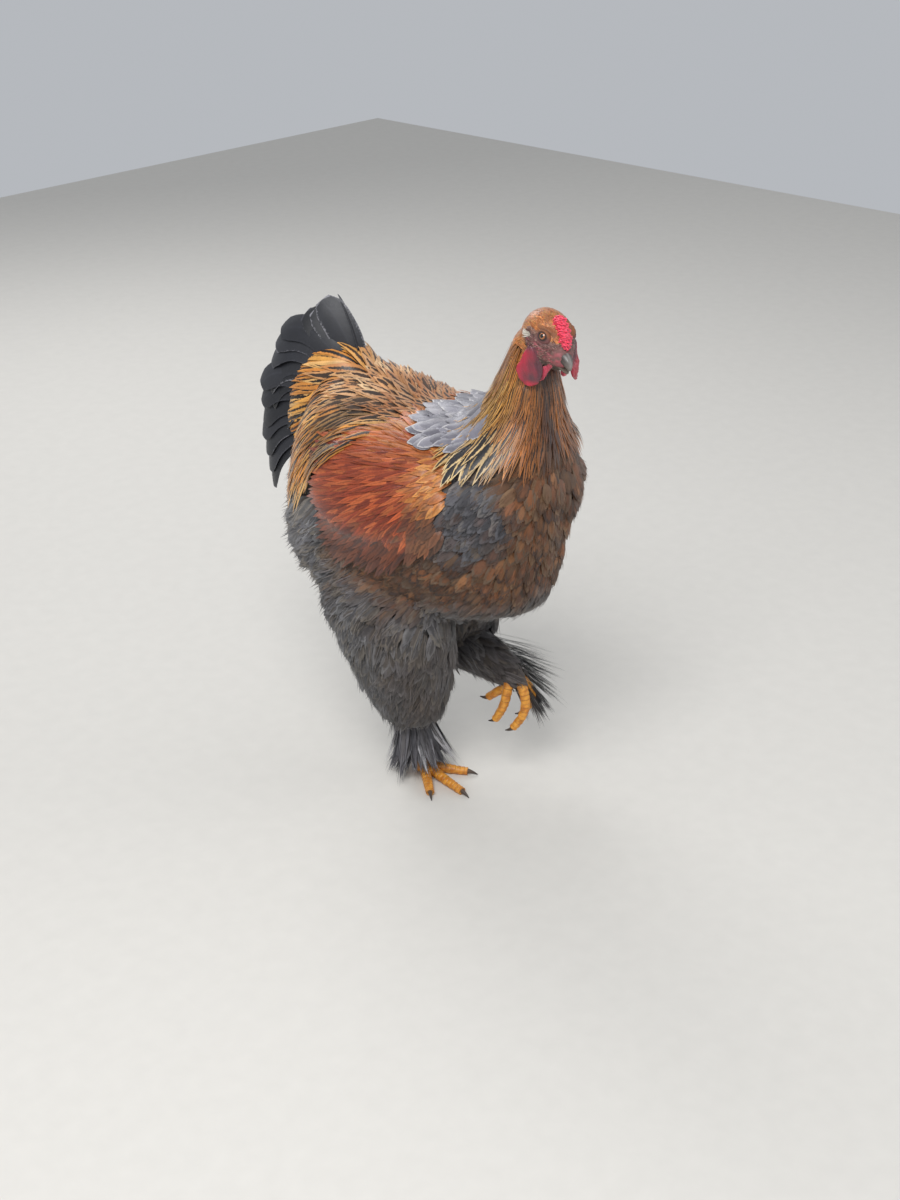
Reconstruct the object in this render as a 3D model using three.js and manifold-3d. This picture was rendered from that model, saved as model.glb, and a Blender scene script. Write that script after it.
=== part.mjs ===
// A Brahma cockerel at life size, walking: it stands on its right foot and swings the left one forward.
// Millimetres, +Z up. The bird looks along -Y, so its left side is +X. The shapes below are given from its
// mid-plane and the floor, and the finished group is moved so that the origin is under the standing foot.
import * as THREE from "three";
import { mergeVertices } from "three/addons/utils/BufferGeometryUtils.js";
import Module from "manifold-3d";

const wasm = await Module();
wasm.setup();

// Driving sizes
const GAP = 0.3; // kept between neighbouring pieces
const SOLE = { x: -12, y: 0 }; // pad of the standing foot, from the mid-plane
const HEAD_AT = { x: -14, y: -193, z: 619 }; // middle of the head, between the eyes
const HEAD_YAW = -20; // degrees, towards the bird's right
const HEAD_PITCH = 20; // degrees, beak down
const EYE = { radius: 5.8, side: 16, ahead: 9, up: 11.5, lid: 1.4 };
const CLAW_LENGTH = 15;
const TOE_RADIUS = 6.3;
const SHANK_RADIUS = 8.5;

// Stations of a body: place along its axis, centre across and in depth, half width, reach each way in depth.
// The torso runs along Y with its depth along Z. The thighs run along Z with their depth along Y.
const TORSO = [
  [-199, 0, 434, 4, 5, 5],
  [-192, 0, 430, 46, 66, 66],
  [-172, 0, 412, 80, 103, 116],
  [-145, 0, 400, 103, 118, 127],
  [-105, 0, 390, 118, 117, 130],
  [-55, 0, 387, 126, 116, 135],
  [0, 0, 384, 127, 114, 140],
  [50, 0, 380, 122, 130, 141],
  [95, 0, 370, 112, 151, 136],
  [128, 0, 358, 99, 158, 119],
  [154, 0, 348, 78, 134, 93],
  [172, 0, 344, 50, 92, 64],
  [181, 0, 344, 5, 7, 7],
];
const THIGH_STANDING = [
  [84, -20, 8, 27, 30, 26],
  [90, -21, 8, 38, 40, 35],
  [112, -27, 6, 50, 53, 45],
  [150, -38, 4, 59, 64, 56],
  [205, -54, 4, 66, 77, 75],
  [260, -64, 8, 66, 92, 92],
  [330, -66, 12, 52, 84, 80],
];
const THIGH_RAISED = [
  [146, 48, 30, 20, 22, 24],
  [154, 49, 27, 32, 32, 36],
  [178, 54, 22, 45, 46, 54],
  [215, 62, 16, 58, 62, 70],
  [262, 67, 12, 64, 78, 84],
  [330, 66, 12, 52, 80, 80],
];
// Rings of the neck's hackle from the head down to the edge of the cape: half width, then y and z
// of the ring at its sides, at the nape and at the throat.
const NECK = [
  [22, -168, 606, -148, 618, -192, 596],
  [27, -166, 590, -142, 603, -194, 580],
  [33, -160, 560, -130, 577, -194, 553],
  [43, -152, 529, -116, 551, -194, 524],
  [64, -142, 501, -98, 528, -197, 500],
  [92, -134, 478, -72, 510, -200, 480],
  [112, -130, 456, -46, 502, -202, 462],
];
const WING = { y: -34, z: 433, long: 116, high: 58, slope: 12, thick: 13, rim: 4 };
// Toes: bearing in degrees from straight ahead towards the bird's right, length and number of raised plates.
const TOES = {
  middle: { bearing: 8, length: 76, plates: 6 },
  inner: { bearing: -32, length: 57, plates: 4 },
  outer: { bearing: 40, length: 62, plates: 4 },
  hind: { bearing: -155, length: 34, plates: 2 },
};
// The raised foot hangs half closed: x, y, z of each toe's joints from the ankle to the claw.
const RAISED_TOES = {
  middle: [[50, -102, 146], [50, -112, 131], [49, -116, 114], [46, -113, 97], [42, -103, 80]],
  inner: [[45, -94, 147], [39, -95, 132], [36, -93, 114], [35, -87, 99], [36, -79, 86]],
  outer: [[56, -98, 146], [64, -106, 132], [69, -109, 117], [70, -105, 103], [68, -97, 90]],
  hind: [[49, -91, 140], [48, -83, 127], [46, -71, 117], [44, -60, 107]],
};
const SHANK_RAISED = [
  [48, 34, 181, 27, 30],
  [49, 6, 172, 26, 31],
  [50, -30, 164, 22, 27],
  [50, -66, 156, 16, 20],
  [50, -92, 148, 11, 13],
  [50, -104, 146, 9, 9],
];

const V = (x, y, z) => new THREE.Vector3(x, y, z);
const turn = THREE.MathUtils.degToRad;
const mix = THREE.MathUtils.lerp;
const clamp = THREE.MathUtils.clamp;
const SIDES = { right: -1, left: 1 };

// Rows of numbers joined by a smooth curve, with t from 0 at the first to 1 at the last.
function through(rows, t) {
  const last = rows.length - 1;
  const i = clamp(Math.floor(t * last), 0, last - 1);
  const s = t * last - i;
  const row = (k) => rows[clamp(k, 0, last)];
  const [a, b, c, d] = [row(i - 1), row(i), row(i + 1), row(i + 2)];
  return b.map((_, k) => {
    const slope = c[k] - a[k];
    const curve = 2 * a[k] - 5 * b[k] + 4 * c[k] - d[k];
    const twist = 3 * b[k] - a[k] - 3 * c[k] + d[k];
    return b[k] + 0.5 * (slope * s + curve * s * s + twist * s * s * s);
  });
}

// How far along the rows their first number reaches a value.
function reaching(rows, value) {
  let [low, high] = [0, 1];
  for (let i = 0; i < 24; i++) {
    const middle = (low + high) / 2;
    if (through(rows, middle)[0] < value) low = middle;
    else high = middle;
  }
  return low;
}

const power = (q, n) => Math.sign(q) * Math.abs(q) ** n;

// A body on stations along Y or Z. point() gives a place on it: u along it, v once round, off outwards.
// push() moves a point that is inside it, or within a distance of it, straight out.
function stationed(rows, along = "y", above = 2, below = above) {
  const deep = along === "y" ? "z" : "y";
  const point = (u, v, off = 0) => {
    const [place, across, depth, half, more, less] = through(rows, u);
    const angle = 2 * Math.PI * v;
    const up = Math.sin(angle) > 0;
    const n = 2 / (up ? above : below);
    const p = V(across + (half + off) * power(Math.cos(angle), n), 0, 0);
    p[along] = place;
    p[deep] = depth + ((up ? more : less) + off) * power(Math.sin(angle), n);
    return p;
  };
  const push = (p, distance) => {
    if (p[along] <= rows[0][0] || p[along] >= rows[rows.length - 1][0]) return p;
    const [, across, depth, half, more, less] = through(rows, reaching(rows, p[along]));
    const dx = p.x - across;
    const dd = p[deep] - depth;
    const n = dd > 0 ? above : below;
    const share = (Math.abs(dx / half) ** n + Math.abs(dd / (dd > 0 ? more : less)) ** n) ** (1 / n);
    const wanted = 1 / share + distance / Math.hypot(dx, dd);
    if (wanted <= 1) return p;
    const q = p.clone();
    q.x = across + dx * wanted;
    q[deep] = depth + dd * wanted;
    return q;
  };
  return { point, push, rows, above, below };
}

// A closed skin over rings of a surface function, with a cap at each end.
function skin(point, steps, around, off = 0) {
  const rings = [];
  for (let i = 0; i <= steps; i++) {
    rings.push([]);
    for (let j = 0; j < around; j++) rings[i].push(point(i / steps, j / around, off));
  }
  return closed(rings);
}

function closed(rings) {
  const around = rings[0].length;
  const points = rings.flat();
  const faces = [];
  for (let i = 0; i < rings.length - 1; i++)
    for (let j = 0; j < around; j++) {
      const [a, b] = [i * around + j, i * around + ((j + 1) % around)];
      faces.push(a, b, b + around, a, b + around, a + around);
    }
  for (const ring of [0, rings.length - 1]) {
    const middle = V(0, 0, 0);
    for (const p of rings[ring]) middle.addScaledVector(p, 1 / around);
    const centre = points.push(middle) - 1;
    for (let j = 0; j < around; j++) {
      const [a, b] = [ring * around + j, ring * around + ((j + 1) % around)];
      faces.push(centre, ring ? a : b, ring ? b : a);
    }
  }
  return new THREE.BufferGeometry().setFromPoints(points).setIndex(faces);
}

// A surface function round a curved centre line. Its rows are x, y, z, half width and half depth along "up".
function limb(rows, up = V(0, 0, 1)) {
  return (u, v, off = 0) => {
    const [x, y, z, half, depth] = through(rows, u);
    const ahead = V(...through(rows, Math.min(u + 0.01, 1)));
    const along = ahead.sub(V(...through(rows, Math.max(u - 0.01, 0)))).normalize();
    const side = along.clone().cross(up).normalize();
    const top = side.clone().cross(along);
    const angle = 2 * Math.PI * v;
    return V(x, y, z)
      .addScaledVector(side, (half + off) * Math.cos(angle))
      .addScaledVector(top, (depth + off) * Math.sin(angle));
  };
}

const wider = (rows, grow) => rows.map(([x, y, z, a, b]) => [x, y, z, a + grow, b + grow]);

// A geometry as a solid, faces out.
function solid(geometry, matrix = new THREE.Matrix4()) {
  const bare = new THREE.BufferGeometry()
    .setAttribute("position", geometry.getAttribute("position").clone())
    .setIndex(geometry.index);
  const g = mergeVertices(bare.applyMatrix4(matrix), 1e-4);
  const build = (index) =>
    new wasm.Manifold(
      new wasm.Mesh({
        numProp: 3,
        vertProperties: g.attributes.position.array,
        triVerts: new Uint32Array(index),
      }),
    );
  const made = build(g.index.array);
  return made.volume() > 0 ? made : build([...g.index.array].reverse());
}

const fuse = (pieces) => wasm.Manifold.union(pieces);
const cutBy = (piece, others) => others.reduce((rest, other) => rest.subtract(other), piece);

// The largest closed surface of a solid, as a named mesh.
function node(name, made, material, tolerance = 0.02) {
  const parts = made.simplify(tolerance).decompose();
  const whole = parts.reduce((a, b) => (b.volume() > a.volume() ? b : a));
  const mesh = whole.getMesh();
  const places = [];
  for (let i = 0; i < mesh.numVert; i++)
    places.push(V(...mesh.vertProperties.subarray(i * mesh.numProp, i * mesh.numProp + 3)));
  const geometry = new THREE.BufferGeometry().setFromPoints(places).setIndex([...mesh.triVerts]);
  const shown = new THREE.Mesh(geometry, material);
  shown.name = name;
  bird.add(shown);
}

// Half of space, as a big block on one side of a plane through a point.
function halfSpace(at, normal, size = 900) {
  const block = new THREE.BoxGeometry(size, size, size).translate(0, 0, size / 2);
  const aim = new THREE.Quaternion().setFromUnitVectors(V(0, 0, 1), normal.clone().normalize());
  return solid(block, new THREE.Matrix4().compose(at, aim, V(1, 1, 1)));
}

// The same random numbers on every run.
function dice(seed) {
  let state = seed >>> 0;
  return (low = 0, high = 1) => {
    state = (Math.imul(state, 1664525) + 1013904223) >>> 0;
    return mix(low, high, state / 4294967296);
  };
}

// A feather's vane, laid on place(t, across, off): half widths and heights at the stations from root to tip.
function vane(place, halves, heights, thick = 0.8, stations = halves.map((_, i) => i / (halves.length - 1))) {
  const last = halves.length - 1;
  const points = [];
  const faces = [0, 1, 2, 0, 2, 3];
  halves.forEach((half, i) => {
    const slim = (i === last ? 0.35 : 0.5) * thick;
    for (const [side, lift] of [[-1, 1], [1, 1], [1, -1], [-1, -1]])
      points.push(place(stations[i], side * half, heights[i] + lift * slim));
    if (i === last) return;
    const k = i * 4;
    faces.push(k + 1, k, k + 4, k + 1, k + 4, k + 5);
    faces.push(k + 3, k + 2, k + 6, k + 3, k + 6, k + 7);
    faces.push(k, k + 3, k + 7, k, k + 7, k + 4);
    faces.push(k + 2, k + 1, k + 5, k + 2, k + 5, k + 6);
  });
  const end = last * 4;
  faces.push(end + 2, end + 1, end, end + 3, end + 2, end);
  return solid(new THREE.BufferGeometry().setFromPoints(points).setIndex(faces));
}

// Rows of vanes like roof tiles on a sheet(r, a, off). Each has its root at r and its tip over the next row.
function tiles(sheet, rows, seed) {
  const roll = dice(seed);
  const made = [];
  rows.forEach(({ r, from, to, count, length, halves, heights, thick, stations }, index) => {
    for (let i = 0; i < count; i++) {
      const a = mix(from, to, (i + 0.5 + (index % 2 ? 0.25 : -0.25)) / count);
      const reach = (r2, a2) => sheet(r2, a2, 0);
      const perRadius = reach(r, a).distanceTo(reach(r + 1e-3, a)) * 1e3;
      const whole = (length * roll(0.9, 1.08)) / perRadius;
      const sway = roll(-0.6, 0.6);
      const lift = roll(-0.15, 0.15);
      const place = (t, across, off) => {
        const r2 = r + t * whole;
        const perAngle = reach(r2, a).distanceTo(reach(r2, a + 1e-3)) * 1e3;
        return sheet(r2, a + (across + sway * t) / perAngle, off + lift * t);
      };
      made.push(vane(place, halves, heights, thick, stations));
    }
  });
  return made;
}

// One row of such vanes. The root dives into the body at once, and the rest stands clear of it.
const featherRow = (r, from, to, count, length, half, tip = 0.1) => ({
  r,
  from,
  to,
  count,
  length,
  halves: [0.35, 0.5, 1, tip].map((share) => share * half),
  heights: [-3, 2, 3.6, 5.2],
  stations: [0, 0.13, 0.55, 1],
  thick: 0.8,
});

function finish(colour, roughness) {
  return new THREE.MeshStandardMaterial({ color: colour, roughness, metalness: 0 });
}

const MATERIALS = {
  breast: finish(0x7a4a26, 0.8),
  hackle: finish(0xb9722c, 0.55),
  wing: finish(0x9a3a18, 0.6),
  tail: finish(0x23242a, 0.5),
  fluff: finish(0x55545c, 0.95),
  face: finish(0x8d4a3c, 0.7),
  comb: finish(0xd8283c, 0.45),
  beak: finish(0x4e4740, 0.4),
  eye: finish(0x3a2110, 0.1),
  toes: finish(0xd98a1e, 0.5),
  claw: finish(0x4a4038, 0.4),
};

const torso = stationed(TORSO, "y", 1.9, 2.3);
const thighs = {
  right: stationed(THIGH_STANDING, "z", 2.2),
  left: stationed(THIGH_RAISED, "z", 2.2),
};
const bird = new THREE.Group();

// A place on the torso's side at a given y and z.
function flank(side, y, z, off) {
  const u = reaching(TORSO, y);
  const [, , depth, , more, less] = through(TORSO, u);
  const above = z > depth;
  const q = clamp((z - depth) / (above ? more : less), -0.999, 0.999);
  const angle = Math.asin(power(q, (above ? torso.above : torso.below) / 2));
  return torso.point(u, (side > 0 ? angle : Math.PI - angle) / (2 * Math.PI), off);
}

// The folded wing is a pad on the torso's side. Its height falls to a rim at the edge.
function wingHeight(y, z) {
  const tilt = turn(WING.slope);
  const [dy, dz] = [y - WING.y, z - WING.z];
  const along = (dy * Math.cos(tilt) - dz * Math.sin(tilt)) / WING.long;
  const across = (dy * Math.sin(tilt) + dz * Math.cos(tilt)) / WING.high;
  const out = Math.hypot(along, across);
  if (out >= 1) return Math.max(0, WING.rim * (1 - 4 * (out - 1)));
  return mix(WING.rim, WING.thick, Math.sqrt(1 - out * out));
}
function wingPad(side, grow = 0) {
  const tilt = turn(WING.slope);
  const rings = [[1, -6], [1, 0], [0.9, 0], [0.7, 0], [0.42, 0], [0.14, 0]].map(([share, low]) =>
    Array.from({ length: 16 }, (_, j) => {
      const angle = (2 * Math.PI * j) / 16;
      const along = Math.cos(angle) * (WING.long + grow) * share;
      const across = Math.sin(angle) * (WING.high + grow) * share;
      const y = WING.y + along * Math.cos(tilt) + across * Math.sin(tilt);
      const z = WING.z - along * Math.sin(tilt) + across * Math.cos(tilt);
      const height = mix(WING.rim, WING.thick, Math.sqrt(1 - Math.min(share, 1) ** 2));
      return flank(side, y, z, low < 0 ? low - grow : height + grow);
    }),
  );
  return solid(closed(rings));
}

// Sheets on which the feathers lie.
// Neck: r from 0 under the head to 1 at the edge of the cape, a once round from the bird's left.
function neckSheet(r, a, off = 0) {
  const t = clamp(r, 0, 1.2);
  const [half, ySide, zSide, yBack, zBack, yFront, zFront] = through(NECK, t);
  const angle = 2 * Math.PI * a;
  const [c, s] = [Math.cos(angle), Math.sin(angle)];
  const [yEnd, zEnd] = s > 0 ? [yBack, zBack] : [yFront, zFront];
  const x = -14 * Math.max(0, 1 - t) ** 1.6 + (half + off) * c;
  const y = ySide + (Math.abs(yEnd - ySide) + off) * s;
  return V(x, y, mix(zSide, zEnd, s * s));
}
function capeSheet(r, a, off = 0) {
  const p = neckSheet(r, a, off);
  return torso.push(p, off + wingHeight(p.y, p.z) + 3 + 2.5 * r);
}
// Saddle: r in millimetres from a point on the ridge of the back, a in radians from straight back.
const SADDLE_START = -38;
function saddleSheet(r, a, off = 0) {
  const y = SADDLE_START + r * Math.cos(a);
  const u = reaching(TORSO, Math.min(y, 132));
  const round = (r * Math.sin(a)) / 800;
  const p = torso.point(u, 0.25 + round, off);
  const wing = wingHeight(y, p.z);
  const q = torso.point(u, 0.25 + round, off + wing + Math.min(wing, 4));
  q.y = y;
  return q;
}
const SADDLE_REGION = (grow) =>
  halfSpace(V(0, -15 - grow, 515), V(0, 0.906, 0.423)).intersect(
    halfSpace(V(0, 20, 405 - grow), V(0, 0.39, 0.92)),
  );

const torsoWhole = solid(skin(torso.point, 18, 20));
const torsoGrown = solid(skin(torso.point, 18, 20, GAP));

// Head
const headPlace = new THREE.Matrix4()
  .makeTranslation(HEAD_AT.x, HEAD_AT.y, HEAD_AT.z)
  .multiply(new THREE.Matrix4().makeRotationZ(turn(HEAD_YAW)))
  .multiply(new THREE.Matrix4().makeRotationX(turn(HEAD_PITCH)));
// Stations of the skull along its own Y, with the beak's end at -Y.
const SKULL = [
  [-37, 0, -5, 5, 5, 6],
  [-30, 0, -5, 11, 13, 15],
  [-20, 0, -3, 17, 21, 22],
  [-8, 0, -2, 22, 27, 27],
  [6, 0, -1, 24.5, 28, 30],
  [20, 0, -2, 22, 25, 29],
  [31, 0, -4, 14, 18, 20],
  [36, 0, -5, 3, 4, 4],
];
const skull = stationed(SKULL, "y", 2);
const headSolid = (off) => solid(skin(skull.point, 12, 16, off), headPlace);
const headHole = solid(skin(skull.point, 9, 12, 2), headPlace);

const ball = (radius, wide = 8, high = 6) => new THREE.SphereGeometry(radius, wide, high);
const placed = (at, scale = V(1, 1, 1), spin = new THREE.Euler()) =>
  new THREE.Matrix4().compose(at, new THREE.Quaternion().setFromEuler(spin), scale);
const onHead = (matrix) => headPlace.clone().multiply(matrix);

// Body
const wingGrown = Object.fromEntries(
  Object.entries(SIDES).map(([name, side]) => [name, wingPad(side, 2 * GAP)]),
);
node("torso", torsoWhole.subtract(SADDLE_REGION(GAP)), MATERIALS.breast);
const wingSheet = (side) => (r, a, off = 0) => {
  const [y, z] = [-150 + r * Math.cos(a), 480 - r * Math.sin(a)];
  return flank(side, y, z, off + wingHeight(y, z));
};
const wingVanes = (side) =>
  tiles(
    wingSheet(side),
    [
      featherRow(80, 0.04, 0.8, 4, 54, 8.6, 0.35),
      featherRow(120, 0.08, 0.74, 4, 58, 9.6, 0.35),
      featherRow(162, 0.14, 0.62, 4, 72, 10, 0.3),
    ],
    23,
  );
const wingHulls = [];
for (const [name, side] of Object.entries(SIDES)) {
  const vanes = wingVanes(side);
  wingHulls.push(wingGrown[name], ...vanes.map((one) => one.hull()));
  node("wing_" + name, fuse([wingPad(side), ...vanes]).subtract(torsoGrown), MATERIALS.wing, 0.1);
}

// Tail: flat feathers on edge, like a tent, with each one outside the one above it.
function tailFeather(side, { base, across, rise, bend, length, halves, roof }, heights) {
  const angle = (t) => turn(rise - bend * t);
  const centre = (t) => {
    const p = V(side * across, base[0], base[1]);
    for (let i = 0; i < 12; i++) {
      const a = angle((t * (i + 0.5)) / 12);
      p.add(V(side * 0.1, Math.cos(a), Math.sin(a)).multiplyScalar((length * t) / 12));
    }
    return p;
  };
  const place = (t, over, off) => {
    const a = angle(t);
    const along = V(side * 0.1, Math.cos(a), Math.sin(a)).normalize();
    const lean = turn(roof);
    const out = V(side * Math.cos(lean), -Math.sin(a) * Math.sin(lean), Math.cos(a) * Math.sin(lean));
    const flat = along.clone().cross(out).normalize();
    return centre(t).addScaledVector(flat, over).addScaledVector(out, off);
  };
  return vane(place, halves, heights ?? halves.map(() => 0), 1);
}
const tailCore = (grow) =>
  solid(
    skin(
      limb(
        [
          [0, 96, 486, 26, 30],
          [0, 118, 505, 34, 34],
          [0, 146, 506, 38, 42],
          [0, 168, 478, 36, 50],
          [0, 178, 440, 28, 52],
          [0, 179, 404, 22, 46],
          [0, 172, 374, 8, 20],
        ].map(([x, y, z, a, b]) => [x, y, z, a + grow, b + grow]),
        V(1, 0, 0),
      ),
      8,
      12,
    ),
  );
const TAIL_TIERS = [
  { count: 4, base: [112, 512], step: [2, -3], across: 2.5, spread: 3, rise: 76, fall: 12, bend: 26,
    more: 4, length: 92, grow: 3, halves: [7, 14, 15, 8], roof: 32 },
  { count: 4, base: [128, 508], step: [5, -8], across: 18, spread: 4.2, rise: 62, fall: 16, bend: 78,
    more: 2, length: 116, grow: -1, halves: [7, 13, 13, 5], roof: 26 },
  { count: 4, base: [162, 488], step: [4, -22], across: 36, spread: 4, rise: 4, fall: 15, bend: 50,
    more: -2, length: 82, grow: -3, halves: [7, 14, 14, 4], roof: 22 },
];
const tailVanes = [];
for (const side of [-1, 1])
  for (const tier of TAIL_TIERS)
    for (let k = 0; k < tier.count; k++)
      tailVanes.push(
        tailFeather(side, {
          base: [tier.base[0] + k * tier.step[0], tier.base[1] + k * tier.step[1]],
          across: tier.across + k * tier.spread,
          rise: tier.rise - k * tier.fall,
          bend: tier.bend + k * tier.more,
          length: tier.length + k * tier.grow,
          halves: tier.halves,
          roof: tier.roof,
        }),
      );
const tail = fuse([tailCore(0), ...tailVanes]);
node("tail", tail.subtract(torsoGrown), MATERIALS.tail, 0.1);

// Saddle
const saddleHackles = tiles(
  saddleSheet,
  [
    featherRow(46, -1.25, 1.25, 6, 60, 9),
    featherRow(80, -1.2, 1.2, 8, 66, 10),
    featherRow(114, -1.15, 1.15, 10, 70, 11),
    featherRow(150, -1.1, -0.3, 4, 84, 11),
    featherRow(150, 0.3, 1.1, 4, 84, 11),
    featherRow(190, -1, -0.42, 3, 86, 11),
    featherRow(190, 0.42, 1, 3, 86, 11),
  ],
  41,
);
node(
  "saddle",
  cutBy(fuse([torsoWhole.intersect(SADDLE_REGION(0)), ...saddleHackles]), [
    ...wingHulls,
    tailCore(GAP),
    ...tailVanes.map((one) => one.hull()),
  ]),
  MATERIALS.hackle,
  0.1,
);

// Legs
for (const [name, side] of Object.entries(SIDES))
  node(
    "thigh_" + name,
    cutBy(solid(skin(thighs[name].point, 10, 12)), [
      torsoGrown,
      wingGrown[name],
      halfSpace(V((side * GAP) / 2, 0, 0), V(-side, 0, 0)),
    ]),
    MATERIALS.fluff,
  );
const thighGrown = {
  right: solid(skin(thighs.right.point, 10, 12, GAP)),
  left: solid(skin(thighs.left.point, 10, 12, GAP)),
};

// A toe with raised plates round its upper side. rows: x, y, z, half width, half depth.
function toe(rows, plates, up) {
  const point = limb(rows, up);
  if (!plates) return solid(skin((u, v) => point(u, v, 0.9), 5, 8));
  const steps = plates * 2;
  const plate = (u, v) => {
    const raised = Math.round(u * steps) % 2 ? 0.9 : 0;
    const upper = Math.sin(2 * Math.PI * v) > -0.5 ? 1 : 0.3;
    return point(u, v, raised * upper);
  };
  return solid(skin(plate, steps, 7));
}
function claw(from, along, down, grow) {
  const length = CLAW_LENGTH + grow;
  const rows = [0, 0.3, 0.65, 1].map((t) => {
    const p = from
      .clone()
      .addScaledVector(along, length * t)
      .addScaledVector(down, length * 0.42 * t * t);
    return [...p.toArray(), mix(3.3, 0.5, t) + grow, mix(4, 0.6, t) + grow];
  });
  return solid(skin(limb(rows, down.clone().negate()), 3, 5));
}
const floor = halfSpace(V(0, 0, 0), V(0, 0, -1));

function toesStanding(grow) {
  const made = [];
  const claws = {};
  for (const [name, { bearing, length, plates }] of Object.entries(TOES)) {
    const angle = turn(bearing);
    const d = V(-Math.sin(angle), -Math.cos(angle), 0);
    const rows = [0.05, 0.3, 0.55, 0.8, 1].map((t) => {
      const radius = TOE_RADIUS * mix(1.12, 0.78, t);
      const p = V(SOLE.x, SOLE.y, 0).addScaledVector(d, length * t);
      return [p.x, p.y, radius - 0.9 + 4 * (1 - t) ** 2, radius + grow, radius + grow];
    });
    made.push(toe(rows, grow ? 0 : plates, V(0, 0, 1)));
    const tip = V(SOLE.x, SOLE.y, 4.6).addScaledVector(d, length);
    claws["claw_right_" + name] = claw(tip.clone().addScaledVector(d, -2), d, V(0, 0, -0.6), grow);
  }
  const pad = solid(ball(1 + grow / 12, 9, 6), placed(V(SOLE.x, SOLE.y + 2, 9), V(13, 13, 10)));
  return { foot: fuse([pad, ...made]), claws };
}
const shankStanding = (grow = 0) =>
  solid(
    skin(
      limb(
        [
          [-12, 2, 12, 9 + grow, 9 + grow],
          [-12, 4, 22, 9.5 + grow, 10 + grow],
          [-14, 9, 50, 10 + grow, 11 + grow],
          [-17, 14, 84, 13 + grow, 14 + grow],
          [-21, 18, 118, 15 + grow, 16 + grow],
        ],
        V(0, 1, 0),
      ),
      8,
      12,
    ),
  );
const standing = toesStanding(0);
const standingGrown = toesStanding(2 * GAP);
node("foot_right", cutBy(standing.foot, [floor, shankStanding(GAP)]), MATERIALS.toes);
for (const [name, made] of Object.entries(standing.claws))
  node(name, cutBy(made, [floor, standingGrown.foot]), MATERIALS.claw);

// Feathers of the standing foot: two rings that come down the shank and spread over the toes.
const footFeathers = [];
for (const { count, from, to, near, far, halves, turned } of [
  { count: 8, from: 88, to: 5, near: 10.5, far: 42, halves: [3, 4.5, 12, 3], turned: 0.3 },
  { count: 7, from: 52, to: 2, near: 7, far: 31, halves: [3, 4, 10, 2], turned: 0.7 },
])
  for (let i = 0; i < count; i++) {
    const angle = (2 * Math.PI * (i + turned)) / count;
    const out = V(Math.cos(angle), Math.sin(angle), 0);
    const side = V(-out.y, out.x, 0);
    const overToe = Object.values(TOES).some(({ bearing }) => {
      const ahead = V(-Math.sin(turn(bearing)), -Math.cos(turn(bearing)), 0);
      return ahead.dot(out) > 0.8;
    });
    const end = overToe ? Math.max(to, 19) : to;
    const place = (t, across, off) => {
      const z = mix(from, end, t);
      const middle = V(SOLE.x - 2 * (z / 50), SOLE.y + 2 + z * 0.14, z);
      const radius = near + (far - near) * t ** 1.3 + (t > 0 ? 4 : 0);
      return middle.addScaledVector(out, radius + off).addScaledVector(side, across);
    };
    footFeathers.push(vane(place, halves, [0, 0, 0, 0], 0.9, [0, 0.12, 0.6, 1]));
  }
node(
  "shank_right",
  cutBy(fuse([shankStanding(), ...footFeathers]), [
    thighGrown.right,
    standingGrown.foot,
    floor,
  ]),
  MATERIALS.fluff,
  0.1,
);

const shankRaised = (grow = 0) =>
  solid(
    skin(
      limb(wider(SHANK_RAISED, grow), V(0, 0, 1)),
      8,
      12,
    ),
  );
function toesRaised(grow) {
  const made = [];
  const claws = {};
  for (const [name, joints] of Object.entries(RAISED_TOES)) {
    const rows = joints.map((p, i) => {
      const radius = TOE_RADIUS * mix(1.05, 0.76, i / (joints.length - 1)) + grow;
      return [...p, radius, radius];
    });
    made.push(toe(rows, grow ? 0 : TOES[name].plates, V(0, -1, 0.01)));
    const end = V(...joints[joints.length - 1]);
    const along = end.clone().sub(V(...joints[joints.length - 2])).normalize();
    const down = V(0, 1, -0.2).addScaledVector(along, -V(0, 1, -0.2).dot(along)).normalize();
    claws["claw_left_" + name] = claw(end.clone().addScaledVector(along, -2), along, down, grow);
  }
  const pad = solid(ball(1 + grow / 12, 9, 6), placed(V(50, -97, 146), V(12, 12, 10)));
  return { foot: fuse([pad, ...made]), claws };
}
const raised = toesRaised(0);
const raisedGrown = toesRaised(2 * GAP);
node("foot_left", raised.foot.subtract(shankRaised(GAP)), MATERIALS.toes);
for (const [name, made] of Object.entries(raised.claws))
  node(name, made.subtract(raisedGrown.foot), MATERIALS.claw);

// Feathers of the raised foot: a fan in two layers that streams forwards and outwards from the ankle.
const fan = [];
for (const { count, x, dx, high, low, length, root } of [
  { count: 6, x: 57, dx: 0.06, high: 22, low: -70, length: 84, root: [-78, 152] },
  { count: 6, x: 62, dx: 0.24, high: 16, low: -62, length: 94, root: [-72, 153] },
])
  for (let i = 0; i < count; i++) {
    const rise = turn(mix(high, low, i / (count - 1)));
    const d = V(dx, -Math.cos(rise), Math.sin(rise)).normalize();
    const out = V(1, 0, 0).addScaledVector(d, -d.x).normalize();
    const side = d.clone().cross(out);
    const long = length * mix(1, 0.72, i / (count - 1));
    const place = (t, across, off) =>
      V(x + i * 0.2, root[0], root[1])
        .addScaledVector(d, long * t)
        .addScaledVector(side, across)
        .addScaledVector(out, off)
        .add(V(0, 0, -6 * t * t));
    fan.push(vane(place, [3, 4, 5, 0.8], [-4, 0, 0.8, 1.5], 0.9, [0, 0.15, 0.6, 1]));
  }
node(
  "shank_left",
  cutBy(fuse([shankRaised(), ...fan]), [thighGrown.left, raisedGrown.foot]),
  MATERIALS.fluff,
  0.1,
);

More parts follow.
